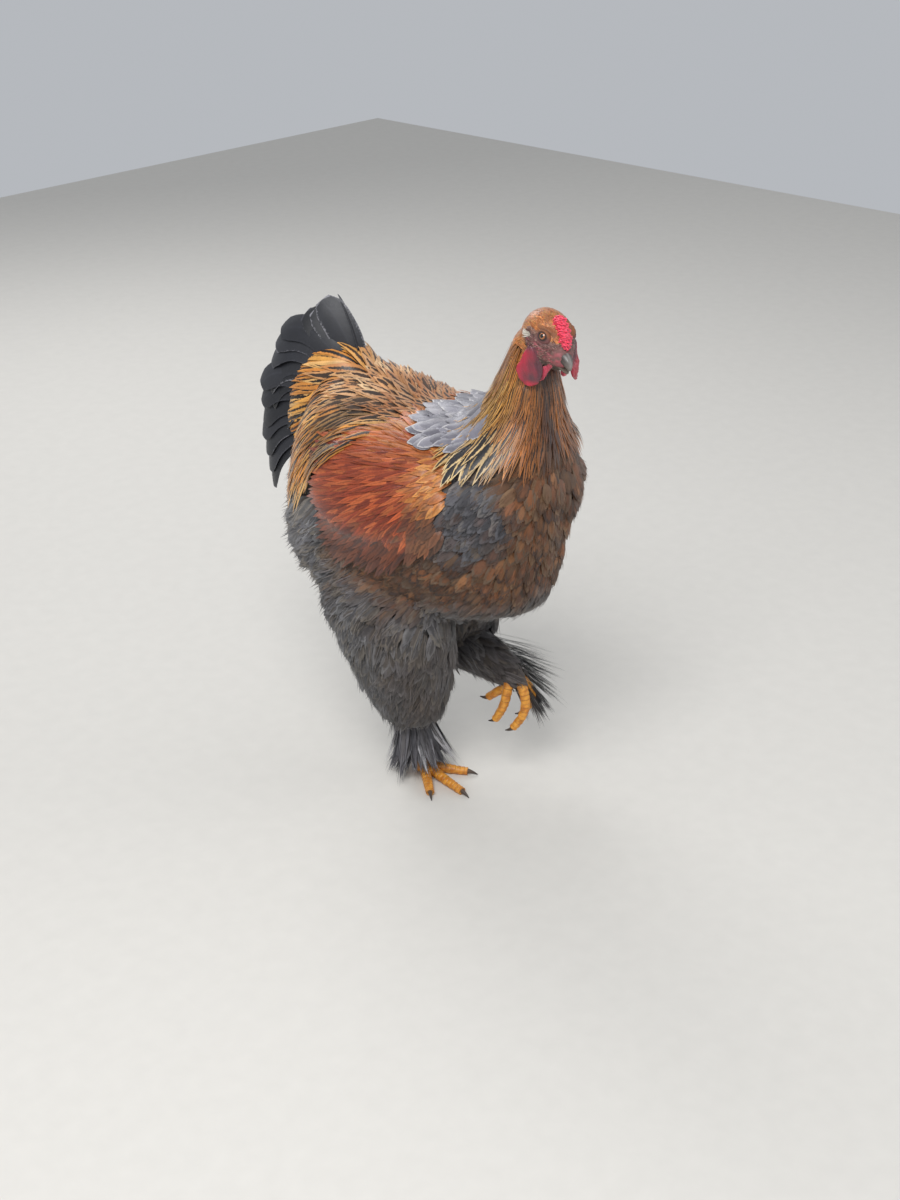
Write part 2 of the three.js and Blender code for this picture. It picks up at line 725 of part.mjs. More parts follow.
// Head
const eyeAt = (side) => V(side * EYE.side, -EYE.ahead, EYE.up);
const eyeOut = (side) => V(side * 0.86, -0.24, 0.45).normalize();
const faceOn = (at, out) => {
  const aim = new THREE.Quaternion().setFromUnitVectors(V(0, 0, 1), out);
  return onHead(new THREE.Matrix4().compose(at, aim, V(1, 1, 1)));
};
const sockets = [-1, 1].map((side) => solid(ball(EYE.radius + GAP, 10, 6), onHead(placed(eyeAt(side)))));
const lids = [-1, 1].map((side) =>
  solid(
    new THREE.TorusGeometry(EYE.radius - 0.2, EYE.lid, 4, 10),
    faceOn(eyeAt(side).addScaledVector(eyeOut(side), 2.4), eyeOut(side)),
  ),
);
const ears = [-1, 1].map((side) => solid(ball(1, 7, 5), onHead(placed(V(side * 20.5, 8, 7), V(3.5, 5, 6)))));
const nostrils = [-1, 1].map((side) =>
  solid(ball(1, 6, 4), onHead(placed(V(side * 8.2, -31, -2), V(2, 3.4, 1.4)))),
);
const beakRows = [
  [0, -22, -5, 10, 9],
  [0, -31, -4.5, 8.8, 8],
  [0, -39.5, -7, 6.6, 6.2],
  [0, -46.5, -11, 4, 4.2],
  [0, -50.5, -15.5, 1.4, 1.8],
];
const jawRows = [
  [0, -22, -13, 8.4, 5],
  [0, -30, -13.2, 7, 4.4],
  [0, -37, -14.4, 4.8, 3.2],
  [0, -42.5, -15.6, 1.6, 1.4],
];
const mouth = (side) => {
  const below = halfSpace(V(0, -24, -10.6 + (side * GAP) / 2), V(0, 0.24 * side, -side));
  return below.transform(headPlace.elements);
};
const upperBeak = solid(skin(limb(beakRows), 8, 10), headPlace).subtract(mouth(1));
const lowerBeak = solid(skin(limb(jawRows), 5, 8), headPlace).subtract(mouth(-1));
const beakHole = solid(skin(limb(wider(beakRows, GAP)), 8, 10), headPlace);
const jawHole = solid(skin(limb(wider(jawRows, GAP)), 5, 8), headPlace);
const mouthHole = fuse([beakHole, jawHole]).hull();
node("head", cutBy(fuse([headSolid(0), ...lids, ...ears]), [...sockets, mouthHole]), MATERIALS.face);
node("beak_upper", cutBy(upperBeak, nostrils), MATERIALS.beak);
node("beak_lower", lowerBeak.subtract(beakHole), MATERIALS.beak);
for (const [name, side] of Object.entries(SIDES))
  node("eye_" + name, solid(ball(EYE.radius, 10, 6), onHead(placed(eyeAt(side)))), MATERIALS.eye);
// Pea comb: three rows of bumps on one ridge from the crown to the beak.
const COMB_BUMPS = 6;
function combPoint(u, v) {
  const angle = 2 * Math.PI * v;
  const ends = Math.min(1, Math.sqrt(Math.sin(Math.PI * clamp(u, 0.02, 0.98))) * 1.25);
  const bump = 1 - 0.13 * Math.cos(2 * Math.PI * COMB_BUMPS * u) - 0.1 * Math.cos(6 * angle);
  const across = 9.2 * ends * bump * Math.cos(angle);
  const up = 8.4 * ends * bump * Math.sin(angle);
  return V(across, mix(5, -38, u), mix(29, 5, u ** 1.8)).add(V(0, -0.45 * up, 0.9 * up));
}
const comb = solid(skin(combPoint, COMB_BUMPS * 2, 12), headPlace);
node("comb", cutBy(comb, [headSolid(GAP), beakHole]), MATERIALS.comb, 0.05);
const hanging = {};
// Flaps of red skin: a lobe from below the ear and a wattle from the corner of the beak. Each has its root,
// its way down, its length, the way its breadth lies, half that breadth, and its thickness.
const FLAPS = {
  earlobe: {
    at: [20.5, 3, -9],
    down: [0.1, -0.25, -0.96],
    length: 40,
    lies: [0.6, 0.8, 0],
    half: 12,
    thick: 3,
  },
  wattle: {
    at: [10, -20, -16],
    down: [0.16, 0.3, -0.94],
    length: 30,
    lies: [0.1, 1, 0],
    half: 9,
    thick: 2.6,
  },
};
for (const [kind, { at, down, length, half, lies, thick }] of Object.entries(FLAPS))
  for (const [name, side] of Object.entries(SIDES)) {
    const way = V(side * down[0], down[1], down[2]);
    const rows = [0, 0.3, 0.6, 0.85, 1].map((t, i) => {
      const p = V(side * at[0], at[1], at[2]).addScaledVector(way, length * t);
      return [...p.toArray(), thick * [1, 1, 1, 0.9, 0.4][i], half * [0.5, 0.8, 1, 0.8, 0.3][i]];
    });
    hanging[kind + "_" + name] = (grow) =>
      solid(skin(limb(wider(rows, grow), V(side * lies[0], lies[1], lies[2])), 5, 8), headPlace);
  }
const lobes = [hanging.earlobe_right(2 * GAP), hanging.earlobe_left(2 * GAP)];
for (const [name, made] of Object.entries(hanging))
  node(
    name,
    cutBy(made(0), [headSolid(GAP), jawHole, ...(name.startsWith("wattle") ? lobes : [])]),
    MATERIALS.comb,
  );

// Neck
const neckCore = () => {
  const rings = [];
  for (let i = 0; i <= 8; i++) {
    const r = (0.93 * i) / 8;
    rings.push(Array.from({ length: 24 }, (_, j) => capeSheet(r, j / 24, 0)));
  }
  rings.push(rings[8].map((p) => p.clone().lerp(V(0, -120, 430), 0.25)));
  rings.unshift(rings[0].map((p) => p.clone().lerp(V(HEAD_AT.x, -176, 638), 0.5)));
  return solid(closed(rings));
};
const neckHackles = tiles(
  capeSheet,
  [
    featherRow(0.11, 0, 1, 8, 50, 9.4),
    featherRow(0.31, 0, 1, 9, 54, 11),
    featherRow(0.51, 0, 1, 11, 58, 12),
    featherRow(0.71, 0, 1, 13, 60, 14),
  ],
  13,
);
node(
  "neck",
  cutBy(fuse([neckCore(), ...neckHackles]), [
    torsoGrown,
    ...wingHulls,
    headHole,
    ...Object.values(hanging).map((made) => made(2 * GAP)),
  ]),
  MATERIALS.hackle,
  0.1,
);

bird.position.set(-SOLE.x, -SOLE.y, 0);
export default bird;
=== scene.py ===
"""Dresses a walking Brahma cockerel: skin, coats of feathers, head, feet and a plain studio."""

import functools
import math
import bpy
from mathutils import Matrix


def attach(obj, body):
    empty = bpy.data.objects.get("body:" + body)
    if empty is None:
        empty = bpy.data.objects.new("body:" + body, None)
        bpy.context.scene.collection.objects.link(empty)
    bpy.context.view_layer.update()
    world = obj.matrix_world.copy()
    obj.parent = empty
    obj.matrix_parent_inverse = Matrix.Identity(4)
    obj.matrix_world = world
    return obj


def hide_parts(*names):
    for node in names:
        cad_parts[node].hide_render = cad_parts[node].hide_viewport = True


bl_info = {
    "name": "Brahma Cockerel",
    "version": (1, 0, 0),
    "blender": (4, 5, 0),
    "location": "3D View > Sidebar > Cockerel",
    "description": "Builds a life-size Brahma cockerel with solid feathers over its CAD frame",
    "category": "Add Mesh",
}

import bpy
import numpy as np
from mathutils import Vector
from mathutils.bvhtree import BVHTree

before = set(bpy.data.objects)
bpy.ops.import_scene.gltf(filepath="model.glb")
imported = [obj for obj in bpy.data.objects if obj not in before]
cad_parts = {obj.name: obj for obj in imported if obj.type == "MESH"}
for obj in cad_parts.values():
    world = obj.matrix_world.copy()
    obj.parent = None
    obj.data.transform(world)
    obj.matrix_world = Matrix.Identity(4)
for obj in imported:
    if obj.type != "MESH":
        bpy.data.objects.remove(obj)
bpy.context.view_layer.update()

MM = 0.001
TURN = 2 * math.pi
BODY = "root"
SIDES = (("right", -1), ("left", 1))
# One seed for each piece or pair, so that every run draws the same feathers.
SEEDS = {"skin": 1, "neck": 7, "saddle": 11, "wings": 23, "tail": 31, "contour": 41, "down": 53,
         "foot": 61, "head": 71}
# The shapes are given from the bird's mid-plane, and the frame's origin is under the standing foot.
FROM_MIDPLANE = np.array([12.0, 0.0, 0.0])
SOLE = np.array([-12.0, 0.0, 0.0])
HEAD_AT = np.array([-14.0, -193.0, 619.0])
HEAD_MIDDLE = np.array([0, 4, -2])
HEAD_YAW = -20.0
HEAD_PITCH = 20.0
EYE_RADIUS = 5.8
CLAW_LENGTH = 15.0
TOE_RADIUS = 6.3

# Stations: place along the body, centre across and in depth, half width, reach each way in depth.
TORSO = [
    [-199, 0, 434, 4, 5, 5], [-192, 0, 430, 46, 66, 66], [-172, 0, 412, 80, 103, 116],
    [-145, 0, 400, 103, 118, 127], [-105, 0, 390, 118, 117, 130], [-55, 0, 387, 126, 116, 135],
    [0, 0, 384, 127, 114, 140], [50, 0, 380, 122, 130, 141], [95, 0, 370, 112, 151, 136],
    [128, 0, 358, 99, 158, 119], [154, 0, 348, 78, 134, 93], [172, 0, 344, 50, 92, 64],
    [181, 0, 344, 5, 7, 7],
]
THIGH_STANDING = [
    [84, -20, 8, 27, 30, 26], [90, -21, 8, 38, 40, 35], [112, -27, 6, 50, 53, 45],
    [150, -38, 4, 59, 64, 56], [205, -54, 4, 66, 77, 75], [260, -64, 8, 66, 92, 92],
    [330, -66, 12, 52, 84, 80],
]
THIGH_RAISED = [
    [146, 48, 30, 20, 22, 24], [154, 49, 27, 32, 32, 36], [178, 54, 22, 45, 46, 54],
    [215, 62, 16, 58, 62, 70], [262, 67, 12, 64, 78, 84], [330, 66, 12, 52, 80, 80],
]
# Rings of the neck's hackle: half width, then y and z of the ring at its sides, nape and throat.
NECK = [
    [22, -168, 606, -148, 618, -192, 596], [27, -166, 590, -142, 603, -194, 580],
    [33, -160, 560, -130, 577, -194, 553], [43, -152, 529, -116, 551, -194, 524],
    [64, -142, 501, -98, 528, -197, 500], [92, -134, 478, -72, 510, -200, 480],
    [112, -130, 456, -46, 502, -202, 462],
]
# How a ring goes on beyond the last one, for each whole length of the neck.
NECK_BEYOND = np.array([20, 30, -140, 150, -40, 0, -150])
WING = {"y": -34, "z": 433, "long": 116, "high": 58, "slope": 12, "thick": 13, "rim": 4}
# The wing's feathers fan out from this place: y and z.
WING_FAN = (-150, 480)
# The pad under a folded wing: share of the wing's outline and height over the torso.
WING_PAD = ((1, -14), (1, -4), (0.9, 2), (0.7, 5), (0.42, 7), (0.14, 8))
SKULL = [
    [-37, 0, -5, 5, 5, 6], [-30, 0, -5, 11, 13, 15], [-20, 0, -3, 17, 21, 22], [-8, 0, -2, 22, 27, 27],
    [6, 0, -1, 24.5, 28, 30], [20, 0, -2, 22, 25, 29], [31, 0, -4, 14, 18, 20], [36, 0, -5, 3, 4, 4],
]
# Planes in front of and under the saddle: a place on each and the way into the saddle.
SADDLE_PLANES = (((0, -5, 515), (0, 0.906, 0.423)), ((0, 20, 415), (0, 0.39, 0.92)))
# x, y, z, half width and half depth along each centre line.
SHANK_STANDING = [
    [-12, 2, 12, 9, 9], [-12, 4, 22, 9.5, 10], [-14, 9, 50, 10, 11], [-17, 14, 84, 13, 14],
    [-21, 18, 118, 15, 16],
]
SHANK_RAISED = [
    [48, 34, 181, 27, 30], [49, 6, 172, 26, 31], [50, -30, 164, 22, 27], [50, -66, 156, 16, 20],
    [50, -92, 148, 11, 13], [50, -104, 146, 9, 9],
]
TAIL_CORE = [
    [0, 96, 486, 26, 30], [0, 118, 505, 34, 34], [0, 146, 506, 38, 42], [0, 168, 478, 36, 50],
    [0, 178, 440, 28, 52], [0, 179, 404, 22, 46], [0, 172, 374, 8, 20],
]
BEAK = [
    [0, -22, -5, 10, 9], [0, -30, -3.4, 8.6, 7.8], [0, -36.5, -4.2, 6.4, 6.2], [0, -42, -6.8, 4.1, 4.4],
    [0, -45.5, -10.4, 1.4, 1.8],
]
JAW = [
    [0, -22, -13, 8.4, 5], [0, -30, -13.2, 7, 4.4], [0, -37, -14.4, 4.8, 3.2],
    [0, -42.5, -15.6, 1.6, 1.4],
]
# Slate patch on the breast's sides: its centre and its reach in x, y and z.
SLATE_AT = np.array([90, -146, 434])
SLATE_REACH = np.array([44, 64, 54])
# Toes: bearing from straight ahead towards the bird's right, length and number of plates.
TOES = {"middle": (8, 76, 13), "inner": (-32, 57, 9), "outer": (40, 62, 10), "hind": (-155, 34, 5)}
RAISED_TOES = {
    "middle": [[50, -102, 146], [50, -112, 131], [49, -116, 114], [46, -113, 97], [42, -103, 80]],
    "inner": [[45, -94, 147], [39, -95, 132], [36, -93, 114], [35, -87, 99], [36, -79, 86]],
    "outer": [[56, -98, 146], [64, -106, 132], [69, -109, 117], [70, -105, 103], [68, -97, 90]],
    "hind": [[49, -91, 140], [48, -83, 127], [46, -71, 117], [44, -60, 107]],
}
# Tail feathers, from the upper pair down: the first one's root, the step to the next, rise and bend in
# degrees, length, half width, lean of the tail's roof, number and how far down the row goes.
TAIL_TIERS = [
    dict(base=(112, 512), step=(2, -3), across=2.5, spread=4, rise=76, fall=8, bend=34, more=6,
         length=94, grow=1, half=18, roof=44, count=5, down=3.2),
    dict(base=(126, 508), step=(5, -8), across=18, spread=4.2, rise=82, fall=12, bend=122, more=5,
         length=122, grow=-1, half=16, roof=30, count=6, down=3.2),
    dict(base=(160, 486), step=(4, -22), across=34, spread=4, rise=36, fall=18, bend=92, more=-4,
         length=92, grow=-3, half=15.5, roof=26, count=7, down=3.2),
    dict(base=(98, 496), step=(9, -6), across=6, spread=7, rise=62, fall=12, bend=74, more=2,
         length=64, grow=2, half=12.0, roof=40, count=9, down=4.6),
]
# Standing foot, from the shank down: feathers round it, height of their roots, distance from the shank at
# root and tip, half width and how far their tips stop above the floor.
FOOT_TIERS = ((24, 124, 17, 31, 6.6, 52), (26, 104, 11, 42, 6.4, 0), (28, 78, 9, 39, 6.0, 0),
              (26, 52, 7, 33, 5.4, 0))
RAISED_FOOT_FEATHERS = 150
# Folds of the face beside an eye: height, place and width upwards, place and width forwards, tilt.
FACE_FOLDS = ((2.8, 6.8, 2.4, 0, 9.5, 0.1), (-1.6, 0, 5, 0, 5, 0), (1.5, -8.5, 2.4, 1, 8, 0),
              (1.1, -14, 2.6, 2, 9, 0), (-1, -11.3, 1.2, 2, 9, 0))
# Lids: distance out from the opening, and height over the ball or, further out, over its centre.
LID_PROFILE = ((-0.5, 3.0), (-0.2, 3.9), (0.1, 4.5), (0.6, 4.9), (1.1, 4.7), (1.5, 4.2), (1.9, 4.0),
               (2.3, 4.2), (2.8, 4.0), (3.3, 3.4), (3.8, 3.0), (4.4, 2.2), (5.0, 1.0), (5.6, -0.6),
               (6.1, -2.4))
# Lobes and wattles: root, way down, length, side that the flap faces, half width, thickness, colours of
# the front, darkened as painted shade, and of the rear edge.
FLAPS = {
    "earlobe": ((22.5, -3, -5), (0.12, -0.3, -0.95), 43, (0.62, 0.78, 0), 15, 3.2, "#553038", "#a62438"),
    "wattle": ((10, -24, -14), (0.2, 0.34, -0.9), 31, (0.2, 1, 0), 5.5, 2.4, "#a83a4c", "#cc5c6c"),
}
# Place along a flap, and shares of its thickness and half width there.
FLAP_STATIONS = ((0, 1, 0.38), (0.3, 1, 0.74), (0.6, 1, 1), (0.85, 0.9, 0.82), (1, 0.4, 0.3))
# The mouth's plane in the head: height, its slope and where it is measured from.
GAPE = {"height": -10.6, "slope": 0.24, "from": -24}
HEAD_ENDS = (0.004, 0.996)
CLAW_RINGS, CLAW_ROUND = 30, 28
# The camera stands and looks as the photographer did, in metres.
CAMERA_AT = (-1.453, -1.354, 1.212)
CAMERA_AIM = (-0.0639, -0.1026, 0.300)
LAMPS = (("key", (-1.6, -0.9, 2.4), 1.3, 62), ("fill", (1.8, -1.6, 1.2), 1.8, 12),
         ("rim", (0.8, 1.9, 1.8), 1.2, 22))


def linear(code):
    """A hex sRGB colour as linear RGBA."""
    parts = [int(code[i:i + 2], 16) / 255 for i in (1, 3, 5)]
    return tuple(c / 12.92 if c <= 0.04045 else ((c + 0.055) / 1.055) ** 2.4 for c in parts) + (1.0,)


def rgb(code):
    return np.array(linear(code)[:3])


def unit(v):
    return v / np.maximum(np.linalg.norm(v, axis=-1, keepdims=True), 1e-9)


def seeded(piece):
    return np.random.default_rng(SEEDS[piece])


def mix(a, b, t):
    return a + (b - a) * t


def smooth(low, high, value):
    """0 below low, 1 above high and a soft step between."""
    t = np.clip((value - low) / (high - low), 0, 1)
    return t * t * (3 - 2 * t)


def hill(*terms):
    """A soft hill from (value, centre, width) terms: 1 at all centres, 1 / e at one width from one."""
    return np.exp(-sum(((value - centre) / width) ** 2 for value, centre, width in terms))


def power(q, n):
    return np.sign(q) * np.abs(q) ** n


def through(rows, t):
    """Rows of numbers joined by a smooth curve, with t from 0 at the first to 1 at the last."""
    rows = np.asarray(rows, float)
    last = len(rows) - 1
    t = np.asarray(t, float)
    i = np.clip(np.floor(t * last).astype(int), 0, last - 1)
    s = (t * last - i)[..., None]
    a, b, c, d = rows[np.maximum(i - 1, 0)], rows[i], rows[i + 1], rows[np.minimum(i + 2, last)]
    return b + 0.5 * ((c - a) * s + (2 * a - 5 * b + 4 * c - d) * s**2 + (3 * (b - c) - a + d) * s**3)


class Stationed:
    """A body on stations along y (1) or z (2). point() is a place on it, push() moves points out of it."""

    def __init__(self, rows, along=1, above=2.0, below=None):
        self.rows = np.array(rows, float)
        self.along, self.deep = along, 3 - along
        self.above, self.below = above, below or above
        self.steps = np.linspace(0, 1, 2001)
        self.places = through(self.rows, self.steps)[:, 0]

    def reaching(self, place):
        return np.interp(place, self.places, self.steps)

    def point(self, u, v, off=0.0):
        u, v, off = np.broadcast_arrays(np.asarray(u, float), v, off)
        row = through(self.rows, u)
        angle = TURN * v
        up = np.sin(angle) > 0
        n = 2 / np.where(up, self.above, self.below)
        p = np.empty(u.shape + (3,))
        p[..., 0] = row[..., 1] + (row[..., 3] + off) * power(np.cos(angle), n)
        p[..., self.along] = row[..., 0]
        reach = np.where(up, row[..., 4], row[..., 5]) + off
        p[..., self.deep] = row[..., 2] + reach * power(np.sin(angle), n)
        return p

    def push(self, p, distance):
        place = p[..., self.along]
        row = through(self.rows, self.reaching(place))
        dx = p[..., 0] - row[..., 1]
        dd = p[..., self.deep] - row[..., 2]
        n = np.where(dd > 0, self.above, self.below)
        reach = np.where(dd > 0, row[..., 4], row[..., 5])
        share = (np.abs(dx / row[..., 3]) ** n + np.abs(dd / reach) ** n) ** (1 / n)
        wanted = 1 / np.maximum(share, 1e-6) + distance / np.maximum(np.hypot(dx, dd), 1e-6)
        inside = (place > self.rows[0, 0]) & (place < self.rows[-1, 0])
        wanted = np.where(inside, np.maximum(wanted, 1), 1)
        q = p.copy()
        q[..., 0] = row[..., 1] + dx * wanted
        q[..., self.deep] = row[..., 2] + dd * wanted
        return np.where(inside[..., None], q, p)


torso = Stationed(TORSO, along=1, above=1.9, below=2.3)
skull = Stationed(SKULL, along=1, above=2.0)


def limb(rows, u, v, off=0.0, up=(0, 0, 1)):
    """A place on a tube of changing width round a curved centre line."""
    u, v, off = np.broadcast_arrays(np.asarray(u, float), v, off)
    row = through(rows, u)
    ahead, behind = through(rows, np.minimum(u + 0.01, 1)), through(rows, np.maximum(u - 0.01, 0))
    along = unit((ahead - behind)[..., :3])
    side = unit(np.cross(along, np.array(up, float)))
    top = np.cross(side, along)
    angle = TURN * v
    return (row[..., :3] + side * ((row[..., 3] + off) * np.cos(angle))[..., None]
            + top * ((row[..., 4] + off) * np.sin(angle))[..., None])


def wing_height(y, z):
    """Height of the folded wing over the torso's side, 0 well outside it."""
    tilt = math.radians(WING["slope"])
    dy, dz = y - WING["y"], z - WING["z"]
    along = (dy * math.cos(tilt) - dz * math.sin(tilt)) / WING["long"]
    across = (dy * math.sin(tilt) + dz * math.cos(tilt)) / WING["high"]
    out = np.hypot(along, across)
    inside = mix(WING["rim"], WING["thick"], np.sqrt(np.maximum(1 - out * out, 0)))
    return np.where(out >= 1, np.maximum(0, WING["rim"] * (1 - 4 * (out - 1))), inside)


def flank(side, y, z, off):
    """A place on the torso's side at a given y and z."""
    u = torso.reaching(y)
    row = through(torso.rows, u)
    above = z > row[..., 2]
    q = np.clip((z - row[..., 2]) / np.where(above, row[..., 4], row[..., 5]), -0.999, 0.999)
    angle = np.arcsin(power(q, np.where(above, torso.above, torso.below) / 2))
    angle = angle if side > 0 else math.pi - angle
    return torso.point(u, angle / TURN, off)


def neck_sheet(r, a, off=0.0):
    """Neck: r from 0 under the head to 1 at the edge of the cape, a once round from the bird's left."""
    r, a, off = np.broadcast_arrays(np.asarray(r, float), a, off)
    t = np.clip(r, 0, 1.0)
    row = through(NECK, t) + np.maximum(r - 1, 0)[..., None] * NECK_BEYOND
    c, s = np.cos(TURN * a), np.sin(TURN * a)
    y_end = np.where(s > 0, row[..., 3], row[..., 5])
    z_end = np.where(s > 0, row[..., 4], row[..., 6])
    narrow = 1 - (0.1 + 0.12 * smooth(0, 0.6, c)) * smooth(0.5, 0.9, t)
    x = -14 * np.maximum(0, 1 - t) ** 1.6 + (row[..., 0] * narrow + off) * c
    y = row[..., 1] + (np.abs(y_end - row[..., 1]) + off) * s
    return np.stack([x, y, mix(row[..., 2], z_end, s * s)], -1)


def cape_sheet(r, a, off=0.0):
    """The neck's sheet, spread over the shoulders and the wings."""
    r, a, off = np.broadcast_arrays(np.asarray(r, float), a, off)
    p = neck_sheet(r, a, off)
    clear = (3 + 2.5 * r) * (1 - 0.8 * smooth(0.75, 1.15, r))
    return torso.push(p, off + wing_height(p[..., 1], p[..., 2]) + clear)


def wing_place(r, a):
    """y and z at a distance r and an angle a from the wing's fan point."""
    return WING_FAN[0] + r * np.cos(a), WING_FAN[1] - r * np.sin(a)


def wing_sheet(side):
    """The folded wing's outside as a sheet(r, a, off)."""
    def sheet(r, a, off=0.0):
        r, a, off = np.broadcast_arrays(np.asarray(r, float), a, off)
        y, z = wing_place(r, a)
        return flank(side, y, z, off + wing_height(y, z))
    return sheet


def head_matrix():
    yaw, pitch = math.radians(HEAD_YAW), math.radians(HEAD_PITCH)
    c, s = math.cos(yaw), math.sin(yaw)
    turn = np.array([[c, -s, 0], [s, c, 0], [0, 0, 1]])
    c, s = math.cos(pitch), math.sin(pitch)
    return turn @ np.array([[1, 0, 0], [0, c, -s], [0, s, c]])


HEAD_TURN = head_matrix()


def on_head(points):
    return np.asarray(points) @ HEAD_TURN.T + HEAD_AT


def into_head(points):
    return (np.asarray(points) - HEAD_AT) @ HEAD_TURN


def wave_noise(p, scale, seed):
    """Smooth noise from -1 to 1, made of turned sine waves; scale in millimetres."""
    draw = np.random.default_rng(seed)
    total = np.zeros(p.shape[:-1])
    for _ in range(7):
        way = unit(draw.normal(size=3)) * (TURN / scale) * draw.uniform(0.6, 1.7)
        total += np.sin(p @ way + draw.uniform(0, 6.28))
    return total / 3.5


# Meshes

def new_object(name, points, faces, material, smooth_faces=True):
    """A mesh object from points in bird millimetres and faces of three or four corners."""
    mesh = bpy.data.meshes.new(name)
    points = (np.asarray(points) + FROM_MIDPLANE) * MM
    mesh.vertices.add(len(points))
    mesh.vertices.foreach_set("co", points.astype(np.float32).ravel())
    corners = np.concatenate([np.asarray(f, np.int32).ravel() for f in faces])
    sizes = np.concatenate([np.full(len(f), np.shape(f)[1], np.int32) for f in faces])
    mesh.loops.add(len(corners))
    mesh.loops.foreach_set("vertex_index", corners)
    mesh.polygons.add(len(sizes))
    starts = np.concatenate([[0], np.cumsum(sizes)[:-1]]).astype(np.int32)
    mesh.polygons.foreach_set("loop_start", starts)
    mesh.update(calc_edges=True)
    mesh.polygons.foreach_set("use_smooth", np.full(len(sizes), smooth_faces))
    mesh.validate()
    mesh.materials.append(material)
    obj = bpy.data.objects.new(name, mesh)
    bpy.context.scene.collection.objects.link(obj)
    return obj


def paint(obj, name, colours):
    """Stores one linear colour for each vertex."""
    layer = obj.data.attributes.new(name, "FLOAT_COLOR", "POINT")
    full = np.ones((len(obj.data.vertices), 4), np.float32)
    full[:, :colours.shape[1]] = colours
    layer.data.foreach_set("color", full.ravel())


def note(obj, name, vectors):
    """Stores one vector for each vertex."""
    layer = obj.data.attributes.new(name, "FLOAT_VECTOR", "POINT")
    layer.data.foreach_set("vector", np.asarray(vectors, np.float32).ravel())


def bake_map(obj, uv):
    """The map OFBake, from one place for each vertex."""
    layer = obj.data.uv_layers.new(name="OFBake")
    corners = np.empty(len(obj.data.loops), np.int32)
    obj.data.loops.foreach_get("vertex_index", corners)
    layer.data.foreach_set("uv", np.clip(uv, 0, 1)[corners].astype(np.float32).ravel())


def hand_over(obj, slot, *nodes):
    """Ties a finished piece to the body and hides the CAD nodes it stands for; the slot is not used."""
    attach(obj, BODY)
    if nodes:
        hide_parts(*nodes)


def solid(name, shape, kind, tone, slot, node):
    """A closed piece with its painted colours, tied to the body, with its CAD node hidden; the slot is not
    used.
    """
    points, quads, tris = shape
    obj = new_object(name, points, [quads, tris], material(kind))
    paint(obj, "Rim", tone)
    hand_over(obj, slot, node)


def grid(rings, around, ends=(0, 1)):
    """Shares along and round a closed skin."""
    return np.meshgrid(np.linspace(*ends, rings), np.arange(around) / around, indexing="ij")


def grid_faces(rings, around):
    """Quads over closed rings of points."""
    i, j = np.meshgrid(np.arange(rings - 1), np.arange(around), indexing="ij")
    a = (i * around + j).ravel()
    b = (i * around + (j + 1) % around).ravel()
    return np.stack([a, b, b + around, a + around], 1)


def tube(points):
    """Points and faces of a closed skin over rings, with a fan at each end."""
    rings, around, _ = points.shape
    flat = np.concatenate([points.reshape(-1, 3), [points[0].mean(0)], [points[-1].mean(0)]])
    quads = grid_faces(rings, around)
    j = np.arange(around)
    k = (j + 1) % around
    top = (rings - 1) * around
    first = np.stack([k, j, np.full(around, rings * around)], 1)
    last = np.stack([top + j, top + k, np.full(around, rings * around + 1)], 1)
    return flat, quads, np.concatenate([first, last])


def round_skin(point, steps, around, off=0.0, ends=(0, 1)):
    """The closed skin of point(u, v, off)."""
    return tube(point(*grid(steps + 1, around, ends), off))


def globe(rings, around, ends):
    """Polar angles, turns round the axis and places of a unit ball."""
    theta, share = grid(rings, around, ends)
    phi = TURN * share
    level = np.sin(theta)
    return theta, phi, np.stack([level * np.cos(phi), level * np.sin(phi), np.cos(theta)], -1)


def joined(parts):
    """Several (points, quads, triangles) as one."""
    points, quads, tris, count = [], [], [], 0
    for p, q, t in parts:
        points.append(p)
        quads.append(q + count)
        tris.append(t + count)
        count += len(p)
    return np.concatenate(points), np.concatenate(quads), np.concatenate(tris)


def melted(parts, voxel, rounds):
    """Closed parts as one seamless skin of quads, in bird millimetres."""
    points, quads, tris = joined(parts)
    obj = new_object("melting", points, [quads, tris], None)
    remesh = obj.modifiers.new("Remesh", "REMESH")
    remesh.mode = "VOXEL"
    remesh.voxel_size = voxel * MM
    soften = obj.modifiers.new("Smooth", "SMOOTH")
    soften.iterations = rounds
    done = obj.evaluated_get(bpy.context.evaluated_depsgraph_get()).to_mesh()
    flat = np.empty(len(done.vertices) * 3, np.float32)
    done.vertices.foreach_get("co", flat)
    corners = np.empty(len(done.loops), np.int32)
    done.loops.foreach_get("vertex_index", corners)
    faces = corners.reshape(-1, 4)
    bpy.data.objects.remove(obj)
    return flat.reshape(-1, 3).astype(float) / MM - FROM_MIDPLANE, faces


# Feathers that leave the surface by more than this hang free, in millimetres.
LOOSE = 6


